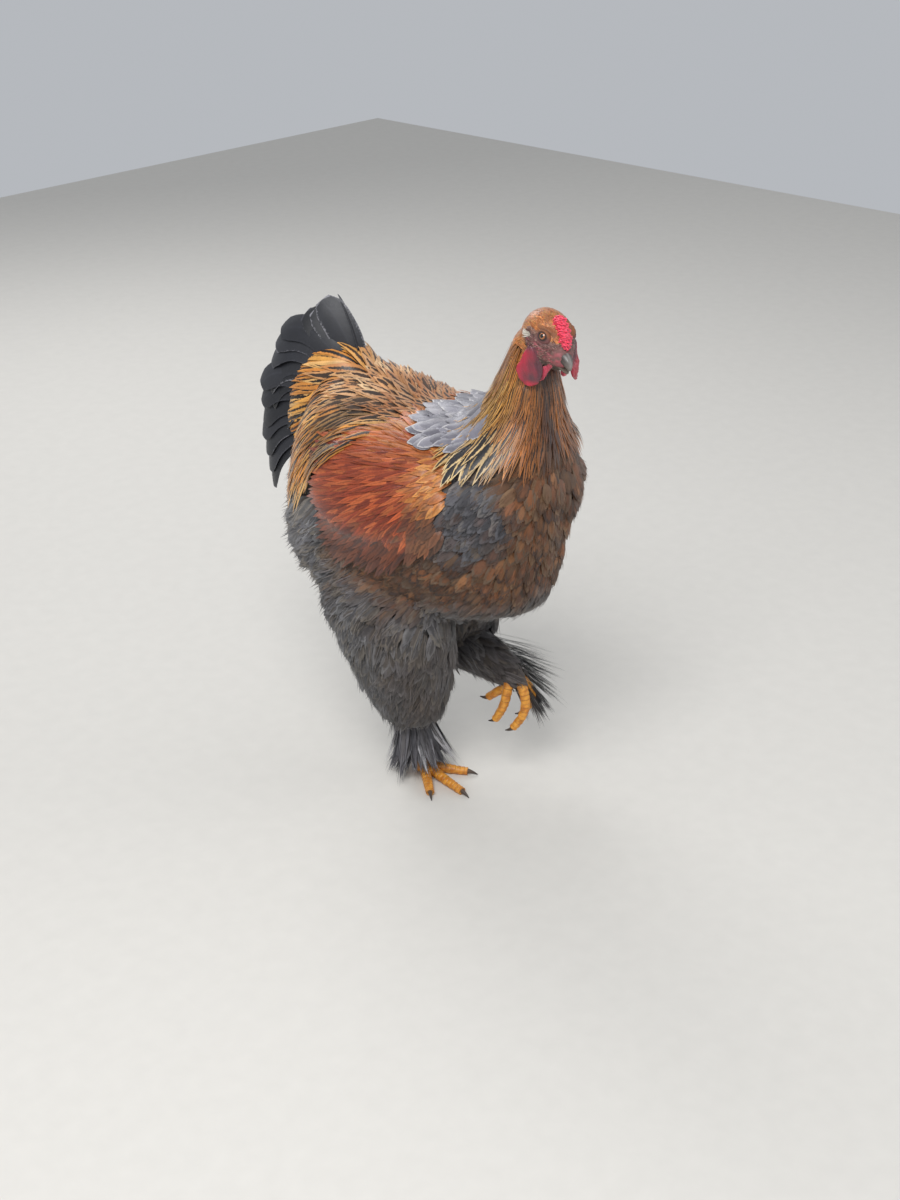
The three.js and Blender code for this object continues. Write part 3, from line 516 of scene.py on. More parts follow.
class Lie:
    """A surface that feathers lie on: nearest places with smooth normals, and walks along it."""

    def __init__(self, points, quads):
        self.points, self.quads = points, quads
        self.tree = BVHTree.FromPolygons(points.tolist(), quads.tolist())
        a, b, c, d = (points[quads[:, k]] for k in range(4))
        flat = np.cross(c - a, d - b)
        self.area = np.linalg.norm(flat, axis=1) / 2
        normals = np.zeros_like(points)
        for k in range(4):
            np.add.at(normals, quads[:, k], flat)
        self.normals = unit(normals)

    def nearest(self, points):
        """The nearest places and the smooth normals there."""
        found = [self.tree.find_nearest(p) for p in points.tolist()]
        place = np.array([f[0] for f in found])
        face = np.array([f[2] for f in found])
        return place, unit(self.normals[self.quads[face]].mean(1))

    def roots(self, draw, spacing, keep):
        """Evenly scattered places about spacing apart where keep(points) is true."""
        count = int(self.area.sum() / spacing**2 * 2.6)
        face = draw.choice(len(self.quads), count, p=self.area / self.area.sum())
        u, v = draw.random((2, count, 1))
        a, b, c, d = (self.points[self.quads[face, k]] for k in range(4))
        points = mix(mix(a, b, u), mix(d, c, u), v)
        normals = unit(self.normals[self.quads[face]].mean(1))
        chosen = keep(points)
        points, normals = points[chosen], normals[chosen]
        cells = np.floor(points / spacing).astype(int)
        _, first = np.unique(cells, axis=0, return_index=True)
        first.sort()
        return points[first], normals[first]

    def walk(self, points, normals, flow, lengths, stations, draw, stray=0.15):
        """Paths over the surface along flow(points): (n, s, 3) places and normals."""
        places, outs = [points], [normals]
        way = flow(points) + draw.normal(0, stray, points.shape)
        for _ in range(stations - 1):
            tangent = unit(way - normals * (way * normals).sum(-1, keepdims=True))
            points = points + tangent * (lengths / (stations - 1))[:, None]
            near, normals = self.nearest(points)
            away = points - near
            far = np.linalg.norm(away, axis=1, keepdims=True) > LOOSE
            points = np.where(far, points, near)
            places.append(points)
            outs.append(normals)
            way = mix(tangent, unit(flow(points)), 0.35)
        return np.stack(places, 1), np.stack(outs, 1)


# Outlines of a vane: share of the half width at places from root to tip.
LANCE = [0.35, 0.75, 1.0, 1.0, 0.92, 0.7, 0.38, 0.03]
STRAND = [0.5, 0.9, 1.0, 0.9, 0.65, 0.05]
ROUND = [0.3, 0.8, 1.0, 0.98, 0.75, 0.12]
BROAD = [0.3, 0.7, 0.9, 0.98, 1.0, 1.0, 0.99, 0.9, 0.5]


def outline(shape, stations):
    return np.interp(np.linspace(0, 1, stations), np.linspace(0, 1, len(shape)), shape)


class Coat:
    """Feathers gathered into one mesh: vanes, their colours, vane coordinates and bake map."""

    def __init__(self):
        self.points, self.quads, self.rim, self.core, self.vane, self.uv = [], [], [], [], [], []
        self.count = 0

    def add(self, centre, up, half, root_uv, rim, core, stripe=0.5, columns=(-1, 0, 1), crown=0.22):
        """Vanes from centre lines (n, s, 3), their up side and half widths (n, s)."""
        n, s = half.shape
        along = unit(np.gradient(centre, axis=1))
        side = unit(np.cross(along, up))
        top = np.cross(side, along)
        upper = np.array(columns, float)
        lower = np.array([-1.0, 1.0])
        spread = np.concatenate([upper, lower])
        high = np.concatenate([crown * (1 - upper**2), [0, 0]])
        wide = half[..., None, None]
        block = (centre[:, :, None] + side[:, :, None] * spread[:, None] * wide
                 + top[:, :, None] * high[:, None] * wide)
        width = len(spread)
        quads = []
        for i in range(s - 1):
            a = i * width
            b = a + width
            quads += [(a + j, a + j + 1, b + j + 1, b + j) for j in range(len(upper) - 1)]
            j = len(upper)
            quads.append((a + j + 1, a + j, b + j, b + j + 1))
        quads = np.array(quads)[None] + (np.arange(n) * s * width)[:, None, None] + self.count
        walked = np.cumsum(np.linalg.norm(np.diff(centre, axis=1, prepend=centre[:, :1]), axis=2), 1)
        barb = walked[..., None] + 0.9 * np.abs(spread) * half[..., None]
        t = np.broadcast_to(np.linspace(0, 1, s)[None, :, None], (n, s, width))
        x = np.broadcast_to(spread, (n, s, width))
        self.points.append(block.reshape(-1, 3))
        self.quads.append(quads.reshape(-1, 4))
        self.vane.append(np.stack([x, t, barb], -1).reshape(-1, 3))
        shape = (n, s, width)

        def full(tone):
            tone = np.asarray(tone, float).reshape(-1, 1, 1, 3)
            return np.broadcast_to(tone, shape + (3,)).reshape(-1, 3)

        stripes = np.broadcast_to(np.asarray(stripe, float).reshape(-1, 1, 1), shape).reshape(-1, 1)
        self.rim.append(full(rim))
        self.core.append(np.concatenate([full(core), stripes], 1))
        uv = np.empty(shape + (2,))
        uv[..., 0] = root_uv[:, 0, None, None] + 0.0015 * x
        uv[..., 1] = root_uv[:, 1, None, None] + 0.003 * (t - 0.5)
        self.uv.append(uv.reshape(-1, 2))
        self.count += n * s * width

    def finish(self, name, material, slot, *nodes):
        obj = new_object(name, np.concatenate(self.points), [np.concatenate(self.quads)], material)
        paint(obj, "Rim", np.concatenate(self.rim))
        paint(obj, "Core", np.concatenate(self.core))
        note(obj, "Vane", np.concatenate(self.vane))
        bake_map(obj, np.concatenate(self.uv))
        hand_over(obj, slot, *nodes)


def on_sheet(sheet, r, a, lengths, half, shape, lifts, draw, stations, sway, ruffle=0.8):
    """Feathers on a sheet(r, a, off), with roots at r and a: centre lines, up sides and half widths."""
    step = 1e-3
    per_r = np.linalg.norm(sheet(r + step, a) - sheet(r, a), axis=-1) / step
    per_r = np.maximum(per_r, 0.2 * np.median(per_r))
    t = np.linspace(0, 1, stations)
    r2 = r[:, None] + t * (lengths / per_r)[:, None]
    per_a = np.linalg.norm(sheet(r2, a[:, None] + step) - sheet(r2, a[:, None]), axis=-1) / step
    a2 = a[:, None] + draw.normal(0, sway, (len(r), 1)) * t / np.maximum(per_a, 1e-3)
    off = np.interp(t, np.linspace(0, 1, len(lifts)), lifts) + draw.normal(0, ruffle, (len(r), 1)) * t
    centre = sheet(r2, a2, off)
    left = sheet(r2, a2 + step, off)
    side = unit(left - centre)
    along = unit(np.gradient(centre, axis=1))
    up = np.cross(side, along)
    outward = sheet(r2, a2, off + 1) - centre
    up *= np.sign((up * outward).sum(-1, keepdims=True))
    return centre, up, half[:, None] * outline(shape, stations)


def rows_on(sheet, r_rows, a_ends, spacing, draw):
    """Roots in staggered rows over a sheet, spacing(r) apart along each row."""
    rs, angles = [], []
    width = a_ends[1] - a_ends[0]
    line = np.linspace(*a_ends, 60)
    for k, r in enumerate(r_rows):
        length = np.linalg.norm(np.diff(sheet(np.full(60, r), line), axis=0), axis=1).sum()
        count = max(int(length / spacing(r)), 2)
        a = mix(a_ends[0], a_ends[1], (np.arange(count) + 0.5 + 0.25 * (-1) ** k) / count)
        angles.append(a + draw.normal(0, 0.2, count) * width / count)
        rs.append(np.full(count, r) + draw.normal(0, 0.25, count) * (r_rows[1] - r_rows[0]))
    return np.concatenate(rs), np.concatenate(angles)


def sheet_uv(r, a):
    """Bake places of roots on the neck's sheet."""
    return np.stack([np.mod(a, 1) * 0.96 + 0.02, np.clip(r, 0, 1) * 0.96 + 0.02], 1)


def pick(draw, codes, count, spread):
    """Random colours from a few hex codes, each a little lighter or darker."""
    table = np.array([rgb(code) for code in codes.split()])
    return table[draw.integers(0, len(table), count)] * np.exp(draw.normal(0, spread, (count, 1)))


def blend(a, b, share):
    """Colours between a and b by a share for each. Either may be one hex code."""
    a, b = (rgb(tone) if isinstance(tone, str) else tone for tone in (a, b))
    return mix(a, b, share[:, None])


# Materials

def add(tree, kind, inputs=None, **properties):
    """Adds a shader node, sets its properties, and links or sets its inputs."""
    made = tree.nodes.new("ShaderNode" + kind)
    for key, value in properties.items():
        setattr(made, key, value)
    for key, value in (inputs or {}).items():
        if isinstance(value, bpy.types.NodeSocket):
            tree.links.new(value, made.inputs[key])
        else:
            made.inputs[key].default_value = value
    return made


def surface(name):
    """A new material with its node tree and Principled shader."""
    material = bpy.data.materials.new(name)
    material.use_nodes = True
    tree = material.node_tree
    return material, tree, tree.nodes["Principled BSDF"]


def tint(tree, colour, factor, low=0.75, high=1.25):
    """A colour made darker or lighter by a factor from 0 to 1."""
    gain = add(tree, "MapRange", {"Value": factor, "To Min": low, "To Max": high}).outputs[0]
    return add(tree, "VectorMath", {0: colour, "Scale": gain}, operation="SCALE").outputs[0]


def feather_material(name, roughness, sheen, barb, depth, mottle, soft, tip, shaft):
    """Feather keratin: a core colour inside a rim, fine barbs slanting from the shaft, mottled by noise.

    barb is the distance between drawn barbs in millimetres. Real ones are 0.3 mm apart, too fine for the
    picture, so that each drawn line stands for a few.
    """
    material, tree, shader = surface(name)
    rim = add(tree, "Attribute", attribute_name="Rim")
    core = add(tree, "Attribute", attribute_name="Core")
    vane = add(tree, "Attribute", attribute_name="Vane")
    x, t, run = add(tree, "SeparateXYZ", {0: vane.outputs["Vector"]}).outputs
    place = add(tree, "TexCoord").outputs["Object"]
    cloud = add(tree, "TexNoise", {"Vector": place, "Scale": 90.0, "Detail": 3.0}).outputs["Fac"]
    flecks = add(tree, "TexNoise", {"Vector": place, "Scale": 420.0, "Detail": 2.0}).outputs["Fac"]
    across = add(tree, "Math", {0: x}, operation="ABSOLUTE").outputs[0]
    wobble = add(tree, "Math", {0: flecks, 1: 0.5, 2: across}, operation="MULTIPLY_ADD").outputs[0]
    end = add(tree, "MapRange", {"Value": t, "From Min": 1 - 3 * tip, "From Max": 1.0}).outputs[0]
    outer = add(tree, "Math", {0: wobble, 1: end}, operation="ADD").outputs[0]
    shift = add(tree, "Math", {0: outer, 1: core.outputs["Alpha"]}, operation="SUBTRACT").outputs[0]
    edge = add(tree, "MapRange", {"Value": shift, "From Min": 0.25 - soft, "From Max": 0.25 + soft},
               interpolation_type="SMOOTHSTEP").outputs[0]
    colour = add(tree, "Mix", {0: edge, 6: core.outputs["Color"], 7: rim.outputs["Color"]},
                 data_type="RGBA").outputs[2]
    turns = add(tree, "Math", {0: run, 1: TURN / barb}, operation="MULTIPLY").outputs[0]
    lines = add(tree, "Math", {0: turns}, operation="SINE").outputs[0]
    lines = add(tree, "MapRange", {"Value": lines, "From Min": -1.0}).outputs[0]
    barbs = add(tree, "Math", {0: lines, 1: flecks}, operation="MULTIPLY").outputs[0]
    colour = tint(tree, colour, barbs, 1 - depth, 1 + depth)
    colour = tint(tree, colour, cloud, 1 - mottle, 1 + mottle)
    # A lighter line down the middle of the vane: painted highlight along the shaft.
    if shaft:
        middle = add(tree, "MapRange", {"Value": across, "From Min": 0.0, "From Max": 0.12}).outputs[0]
        colour = tint(tree, colour, middle, 1 + shaft, 1.0)
    tree.links.new(colour, shader.inputs["Base Color"])
    rough = add(tree, "MapRange", {"Value": barbs, "To Min": roughness - 0.08, "To Max": roughness + 0.12})
    tree.links.new(rough.outputs[0], shader.inputs["Roughness"])
    bump = add(tree, "Bump", {"Height": barbs, "Strength": 0.35, "Distance": 0.0003})
    tree.links.new(bump.outputs[0], shader.inputs["Normal"])
    shader.inputs["Sheen Weight"].default_value = sheen
    shader.inputs["Sheen Roughness"].default_value = 0.4
    return material


def flesh_material(name, roughness, grain, height, coat, subsurface, low, high):
    """Bare skin or horn: painted colour under pores of a real size, with a fine bump."""
    material, tree, shader = surface(name)
    base = add(tree, "Attribute", attribute_name="Rim").outputs["Color"]
    place = add(tree, "TexCoord").outputs["Object"]
    pores = add(tree, "TexVoronoi", {"Vector": place, "Scale": 1000.0 / grain}).outputs["Distance"]
    broad = {"Vector": place, "Scale": 1000.0 / (grain * 5), "Detail": 5.0}
    cloud = add(tree, "TexNoise", broad).outputs["Fac"]
    both = add(tree, "Math", {0: pores, 1: 0.6, 2: cloud}, operation="MULTIPLY_ADD").outputs[0]
    colour = tint(tree, base, both, low, high)
    tree.links.new(colour, shader.inputs["Base Color"])
    rough = add(tree, "MapRange", {"Value": cloud, "To Min": roughness - 0.1, "To Max": roughness + 0.15})
    tree.links.new(rough.outputs[0], shader.inputs["Roughness"])
    bump = add(tree, "Bump", {"Height": both, "Strength": 0.6, "Distance": height * MM})
    tree.links.new(bump.outputs[0], shader.inputs["Normal"])
    shader.inputs["Coat Weight"].default_value = coat
    shader.inputs["Coat Roughness"].default_value = 0.25
    shader.inputs["Subsurface Weight"].default_value = subsurface
    shader.inputs["Subsurface Radius"].default_value = (1.0, 0.25, 0.15)
    shader.inputs["Subsurface Scale"].default_value = 0.0015
    return material


# Feathers: name, roughness, sheen, barb spacing in millimetres, depth of the barbs, mottling, softness of
# the rim's inner edge, tip, and painted highlight along the shaft.
FEATHERS = {
    # Long silky hackles: a dark centre, a glossy golden edge and a soft sheen down the strands.
    "hackle": ("Hackle feather, silky keratin", 0.42, 0.25, 1.3, 0.3, 0.3, 0.14, 0.06, 0),
    # Wing bow: silky mahogany strands that catch the light.
    "wing": ("Wing covert, silky keratin", 0.42, 0.25, 1.3, 0.3, 0.3, 0.2, 0.06, 0),
    # Body feathers: matt, with barbs seen as fine ribs and a darker edge.
    "contour": ("Contour feather, matt keratin", 0.62, 0.15, 1.4, 0.32, 0.3, 0.2, 0.1, 0),
    # Down: no gloss at all, loose barbs.
    "down": ("Loose down, matt barbs", 0.85, 0.35, 1.6, 0.3, 0.35, 0.3, 0.1, 0),
    # Tail: broad feathers, satin and nearly black, with a frosted edge and a painted highlight along the
    # shaft.
    "tail": ("Tail feather, satin black keratin", 0.52, 0.05, 1.6, 0.35, 0.25, 0.1, 0.01, 0.35),
}
# Skin and horn: name, roughness, grain and relief in millimetres, coat, subsurface, and darkest and
# lightest tint.
FLESH = {
    # Skin under the coat: dull, and painted dark as shade, so that gaps between feathers stay quiet.
    "skin": ("Bird skin, dull and pored", 0.65, 1.6, 0.25, 0.05, 0.1, 0.7, 1.25),
    # Comb, wattles and lobes: blood-red, soft, moist, beaded with papillae.
    "comb": ("Comb skin, moist papillae", 0.38, 1.1, 0.3, 0.25, 0.2, 0.75, 1.2),
    # Beak and claws: worn horn with a low gloss.
    "beak": ("Beak horn, worn satin", 0.36, 2.2, 0.08, 0.15, 0, 0.7, 1.25),
    "claw": ("Claw horn, worn satin", 0.4, 2.0, 0.08, 0.1, 0, 0.7, 1.25),
    # Toes: waxy yellow scutes, darker in the grooves between them.
    "toes": ("Scaled toe skin, waxy", 0.45, 1.4, 0.2, 0.1, 0.1, 0.7, 1.25),
    # Eye: a wet cornea that mirrors the lights over a ringed iris.
    "eye": ("Eye, wet cornea", 0.12, 0.5, 0.02, 1.0, 0, 0.85, 1.15),
}


@functools.cache
def material(kind):
    """The material of a kind of piece, made once."""
    if kind in FEATHERS:
        return feather_material(*FEATHERS[kind])
    return flesh_material(*FLESH[kind])


# Where things are on the body, and their colours

def breast_share(p):
    """1 on the brown breast and flanks, 0 on the grey thighs, belly and rear."""
    y, z = p[..., 1], p[..., 2]
    wander = 14 * wave_noise(p, 60, 5)
    edge = 306 - 0.16 * (y + 60) + wander
    return smooth(edge - 16, edge + 16, z) * smooth(38, -10, y + wander * 1.2)


def slate_share(p):
    """1 on the slate patch of the upper breast's sides."""
    mirrored = p.copy()
    mirrored[..., 0] = np.abs(p[..., 0])
    far = np.linalg.norm((mirrored - SLATE_AT) / SLATE_REACH, axis=-1)
    return smooth(1.25, 0.75, far + 0.25 * wave_noise(p, 34, 6))


def covered(p):
    """True where the wings or the saddle hide the body's own coat."""
    wing = (wing_height(p[:, 1], p[:, 2]) > 3.2) & (p[:, 1] > -112)
    saddle = p[:, 1] < 150
    for place, way in SADDLE_PLANES:
        saddle &= (p - np.array(place)) @ np.array(way) > 0
    return wing | saddle


def body_colours(p, draw):
    """Rim and core colours of the coat at places on the body."""
    n = len(p)
    brown_rim = pick(draw, "#4e3626 #432f26 #5e4230 #65503e #74583e", n, 0.1)
    brown_core = pick(draw, "#75482a #7d4d2c #6b432a #835836 #624630", n, 0.1)
    slate_rim = pick(draw, "#545358 #5d5c61 #4a494d #6a6665", n, 0.12)
    slate_core = pick(draw, "#444347 #3b3a3e #4d4b51 #53483f", n, 0.12)
    grey_rim = pick(draw, "#686768 #5e5d60 #747375 #6c665f", n, 0.1)
    grey_core = pick(draw, "#4a494a #424144 #555352 #4d4743", n, 0.1)
    brown = breast_share(p) * smooth(130, 100, p[:, 1])
    slate = np.clip(slate_share(p) * draw.uniform(0.7, 1.25, n), 0, 1)
    # Down is lighter at the rear, darker low on the legs and browner in front.
    pale = smooth(30, 120, p[:, 1]) * smooth(230, 320, p[:, 2])
    low = smooth(300, 130, p[:, 2])
    gain = (1.02 + 0.6 * pale - 0.34 * low + 0.24 * wave_noise(p, 42, 9))[:, None]
    earth = rgb("#4a3a30")
    warm = 0.5 * smooth(10, -60, p[:, 1]) * (0.6 + 0.4 * wave_noise(p, 50, 10))
    patch = (1 + 0.28 * wave_noise(p, 30, 12))[:, None]

    def coloured(grey, earthy, brown_tone, slate_tone):
        tone = blend(blend(grey * gain, earthy, warm), brown_tone * patch, brown)
        return np.clip(blend(tone, slate_tone * patch, slate), 0, 1)

    return (coloured(grey_rim, earth * 1.25, brown_rim, slate_rim),
            coloured(grey_core, earth * 0.85, brown_core, slate_core))


def body_uv(p):
    """Place on an unwrap of the body: once round the long axis, and along it with the legs below."""
    angle = np.arctan2(p[:, 0], p[:, 2] - 380) / TURN + 0.5
    run = (p[:, 1] + 215) / 420
    return np.clip(np.stack([0.02 + 0.96 * angle, 0.02 + 0.96 * run], 1), 0, 1)


def head_uv(local):
    """Place of head points on an unwrap round the head's own axis."""
    angle = np.arctan2(local[:, 0], local[:, 2] + 3) / TURN + 0.5
    return np.clip(np.stack([angle, (local[:, 1] + 40) / 80], 1), 0, 1)


def wing_pad(side):
    """The muscle under a folded wing, closed over the torso's side."""
    angle = TURN * np.arange(36) / 36
    tilt = math.radians(WING["slope"])
    rings = []
    for share, height in WING_PAD:
        along = np.cos(angle) * WING["long"] * share
        across = np.sin(angle) * WING["high"] * share
        y = WING["y"] + along * math.cos(tilt) + across * math.sin(tilt)
        z = WING["z"] - along * math.sin(tilt) + across * math.cos(tilt)
        rings.append(flank(side, y, z, height))
    return tube(np.stack(rings))


@functools.cache
def body_lie():
    """The body's skin, made once: an inner surface that the coat stands on."""
    neck = cape_sheet(*grid(20, 40, (0, 0.93)), -4.0)
    closing = neck[-1] * 0.6 + np.array([0, -120, 430]) * 0.4
    parts = [round_skin(torso.point, 40, 48, off=-7.0, ends=(0.02, 0.98)),
             tube(np.concatenate([neck, closing[None]]))]
    for rows in (THIGH_STANDING, THIGH_RAISED):
        thigh = Stationed(rows, along=2, above=2.2)
        parts.append(round_skin(thigh.point, 24, 36, off=-9.0, ends=(0.06, 1)))
    parts += [wing_pad(side) for _, side in SIDES]
    for rows, off, up in ((SHANK_STANDING, -2.0, (0, 1, 0)), (SHANK_RAISED, -2.0, (0, 0, 1)),
                          (TAIL_CORE, -9.0, (1, 0, 0))):
        parts.append(round_skin(lambda u, v, off: limb(rows, u, v, off, up), 16, 24, off))
    parts.append(round_skin(lambda u, v, off: on_head(skull.point(u, v, off)), 30, 32, off=-1.0,
                            ends=(0.02, 0.98)))
    points, quads = melted(parts, voxel=4.0, rounds=6)
    # The breast draws in below its sides, and a crease runs down its middle.
    x, y, z = points.T
    front = smooth(-95, -150, y)
    drawn_in = smooth(430, 360, z) * smooth(232, 262, z) * smooth(10, 75, x) * front
    crease = hill((x, 8, 11), (z, 395, 48)) * front
    points = points - drawn_in[:, None] * np.array([26, -13, 0]) + crease[:, None] * np.array([0, 6, 0])
    return Lie(points, quads)


def body_flow(p):
    """The lie of the body's coat: back and down, and nearly straight down on the thighs."""
    leg = smooth(300, 240, p[:, 2])
    flow = unit(np.stack([0 * leg, mix(1.0, 0.3, leg), mix(-0.85, -1.0, leg)], 1))
    # The lifted shank's coat runs forward to the toes.
    shank = smooth(208, 190, p[:, 2]) * smooth(14, -8, p[:, 1]) * smooth(18, 28, p[:, 0])
    return blend(flow, np.array([0.12, -0.9, -0.4]), shank)


def saddle_flow(p):
    """Straight back on the ridge, then outwards and down in a curtain over the flanks."""
    x = np.abs(p[:, 0])
    out = smooth(12, 80, x)
    low = smooth(480, 420, p[:, 2])
    return unit(np.stack([0.3 * np.sign(p[:, 0]) * smooth(0, 25, x), 1 - 0.35 * low,
                          -0.1 - 1.1 * out - 0.6 * low], 1))


# Feathers over the surfaces

def fringe(coat, draw, centre, outs, half, uv, rim, core, strands):
    """Loose barbs over the outer half of each feather, that break its outline."""
    n, s = centre.shape[:2]
    side = unit(np.cross(unit(np.gradient(centre, axis=1)), outs))
    tail = centre[:, -1:] - centre[:, s // 2:s // 2 + 1]
    t = np.linspace(0, 1, 4)
    row = np.arange(n)[:, None]
    for k in range(strands):
        over = (k + draw.uniform(0, 1, n)) / strands * 2 - 1
        start = draw.uniform(0.35, 0.6, n)
        spot = start[:, None] + (draw.uniform(0.95, 1.16, n) - start)[:, None] * t
        low = np.clip(np.floor(np.minimum(spot, 0.999) * (s - 1)).astype(int), 0, s - 2)
        part = (np.minimum(spot, 1) * (s - 1) - low)[..., None]
        line = mix(centre[row, low], centre[row, low + 1], part)
        line = line + tail * 2 * np.maximum(spot - 1, 0)[..., None]
        spread = over[:, None] * half[:, None] * (0.5 + 0.55 * spot)
        out = outs[row, low]
        line = line + side[row, low] * spread[..., None] + out * (0.25 + 0.9 * (1 - over**2))[:, None, None]
        line = line + out * draw.uniform(0, 0.9, (n, 1, 1)) * t[:, None]
        thin = draw.uniform(0.22, 0.5, (n, 1)) * np.array([0.6, 1.0, 0.8, 0.1])
        tone = blend(rim, core, draw.uniform(0, 1, n)) * draw.uniform(0.85, 1.3, (n, 1))
        coat.add(line, out, thin, uv, tone, core, stripe=0.3, columns=(-1, 1), crown=0.0)


def gathered(tips, draw, every, share):
    """Moves that draw the tips of neighbouring tufts together into locks."""
    centres = tips[draw.permutation(len(tips))[::every]]
    nearest = [((part[:, None] - centres) ** 2).sum(-1).argmin(1)
               for part in np.array_split(tips, max(len(tips) // 400, 1))]
    return (centres[np.concatenate(nearest)] - tips) * share


def tufts(coat, draw, roots, normals, rim, core):
    """Clumps of down: one soft broad vane each, and loose strands over and beside it."""
    strands, wide, stations = 5, 6.5, 5
    n = len(roots)
    uv = body_uv(roots)
    lengths = draw.uniform(28, 40, n)
    paths, outs = body_lie().walk(roots, normals, body_flow, lengths, stations, draw, stray=0.25)
    t = np.linspace(0, 1, stations)
    rise = np.interp(t, [0, 0.2, 1], [-2, 3.15, 9])
    hip = smooth(-10, 60, roots[:, 1]) * smooth(250, 300, roots[:, 2])
    swell = 0.32 * wave_noise(roots, 38, 21) + draw.normal(0, 0.1, n) + 0.9 * hip
    centre = paths + outs * (rise * (1 + swell[:, None] * t))[..., None]
    locks = gathered(centre[:, -1], draw, every=9, share=0.42)
    centre = centre + locks[:, None] * (t**1.5)[None, :, None]
    half = draw.uniform(0.8, 1.15, n)[:, None] * wide * outline(ROUND, stations) * settings().feather_width
    coat.add(centre, outs, half, uv, rim, core, crown=0.4)
    side = unit(np.cross(unit(np.gradient(centre, axis=1)), outs))
    along = t[None, :, None]
    for _ in range(strands):
        over = draw.uniform(-1, 1, (n, 1, 1)) * wide * 1.1
        fan = over * (0.35 + 0.8 * along + draw.normal(0, 0.25, (n, 1, 1)) * along**2)
        high = (draw.uniform(0.3, 1.6, (n, 1)) + 2.2 * t * draw.uniform(-0.3, 1, (n, 1)))[..., None]
        reach = draw.uniform(0.75, 1.2, (n, 1, 1))
        line = centre[:, :1] + (centre - centre[:, :1]) * reach + side * fan + outs * high
        thin = draw.uniform(0.3, 0.75, (n, 1)) * outline(STRAND, stations)
        shade = draw.uniform(0.8, 1.5, (n, 1))
        coat.add(line, outs, thin + 0.02, uv, rim * shade, core * shade, stripe=0.3, columns=(-1, 1),
                 crown=0.0)


# The head

def eye_at(side):
    return np.array([side * 16.0, -9.0, 11.5])


def eye_axes(side):
    """Forward, up and out of an eye, in head millimetres."""
    out = unit(np.array([side * 0.86, -0.24, 0.45]))
    ahead = np.array([0, -1.0, 0.12])
    ahead = unit(ahead - out * (ahead @ out))
    up = unit(np.cross(ahead, out)) * side
    if up[2] < 0:
        up = -up
    return ahead, up, out


def head_skin_point(u, v):
    """The skull's skin, with brows, cheek folds and hollows, in head millimetres."""
    p = skull.point(u, v)
    normal = unit(p - HEAD_MIDDLE)
    rise = np.zeros(p.shape[:-1])
    for _, side in SIDES:
        ahead, up, out = eye_axes(side)
        d = p - eye_at(side)
        a, b, near = d @ ahead, d @ up, d @ out > -6
        for height, above, high, before, long, tilt in FACE_FOLDS:
            rise += near * height * hill((b - tilt * a, above, high), (a, before, long))
        jowl = (p - np.array([side * 17.0, -8.0, -19.0])) / np.array([9.0, 9.0, 8.0])
        rise += 4.6 * np.exp(-(jowl**2).sum(-1))
        ear = p - np.array([side * 21.5, 8, 3.5])
        rise += 1.8 * hill((np.linalg.norm(ear * [1, 1, 0.85], axis=-1), 5.5, 1.8))
        rise -= 1.5 * hill((np.linalg.norm(ear, axis=-1), 0, 3.2))
    rise += 0.25 * wave_noise(p, 5, 31) + 0.35 * wave_noise(p, 11, 32)
    return p + normal * rise[..., None]


def head_tones(local):
    """Colours of the head's skin: dusky red face, rust crown and nape, slate chin and dark eye rings."""
    y, z = local[:, 1], local[:, 2]
    blotch = np.clip(0.5 + 0.5 * wave_noise(local, 7, 34), 0, 1)
    tone = blend("#684a46", "#a44f59", blotch * smooth(9, -4, z))
    brow = smooth(7, 14, z) * smooth(-26, -18, y)
    rust = np.maximum.reduce([smooth(9, 20, z + 0.25 * y), smooth(14, 26, y), 0.8 * brow])
    under, behind = smooth(-8, -16, z), smooth(-3, 6, y)
    for code, share in (("#83512f", rust), ("#454037", under * (1 - behind)), ("#6b4226", under * behind)):
        tone = blend(tone, code, share)
    for _, side in SIDES:
        d = local - eye_at(side)
        ahead, up, out = eye_axes(side)
        ring = hill((np.hypot(d @ ahead, d @ up), 5, 3)) * (d @ out > -6)
        tone = blend(tone, "#3c3032", 0.75 * ring)
    return tone


def lid(side):
    """An eye's lids: a rolled rim round the opening, then two wrinkles that sink into the skin."""
    ahead, up, out = eye_axes(side)
    count = 64
    angle = TURN * np.arange(count) / count
    wide = np.where(np.sin(angle) > 0, 2.45, 3.3)
    opening = 1 / np.sqrt((np.cos(angle) / 4.3) ** 2 + (np.sin(angle) / wide) ** 2)
    lit = blend("#6a4140", "#7a4a2c", smooth(-0.2, 0.5, np.sin(angle)))
    rings, tones = [], []
    for far, high in LID_PROFILE:
        rho = opening + far
        brow = 1.5 * np.maximum(np.sin(angle), 0) * smooth(0.5, 2.4, far) * (far < 5)
        wrinkle = 0.12 * np.sin(9 * angle + far * 2) * (far > 1.5)
        rings.append(eye_at(side) + (rho * np.cos(angle))[:, None] * ahead
                     + (rho * np.sin(angle))[:, None] * up + (high + brow + wrinkle)[:, None] * out)
        # Near the opening the lid is painted nearly black: painted shade where the lid meets the eye.
        tones.append(mix(rgb("#2a1e1c"), lit, smooth(0.9, 3.6, far)))
    quads = grid_faces(len(LID_PROFILE), count)
    if side < 0:
        quads = quads[:, ::-1]
    return on_head(np.concatenate(rings)), quads, np.concatenate(tones)


class BuildOperator:
    """What the building operators share."""

    bl_options = {"REGISTER", "UNDO"}


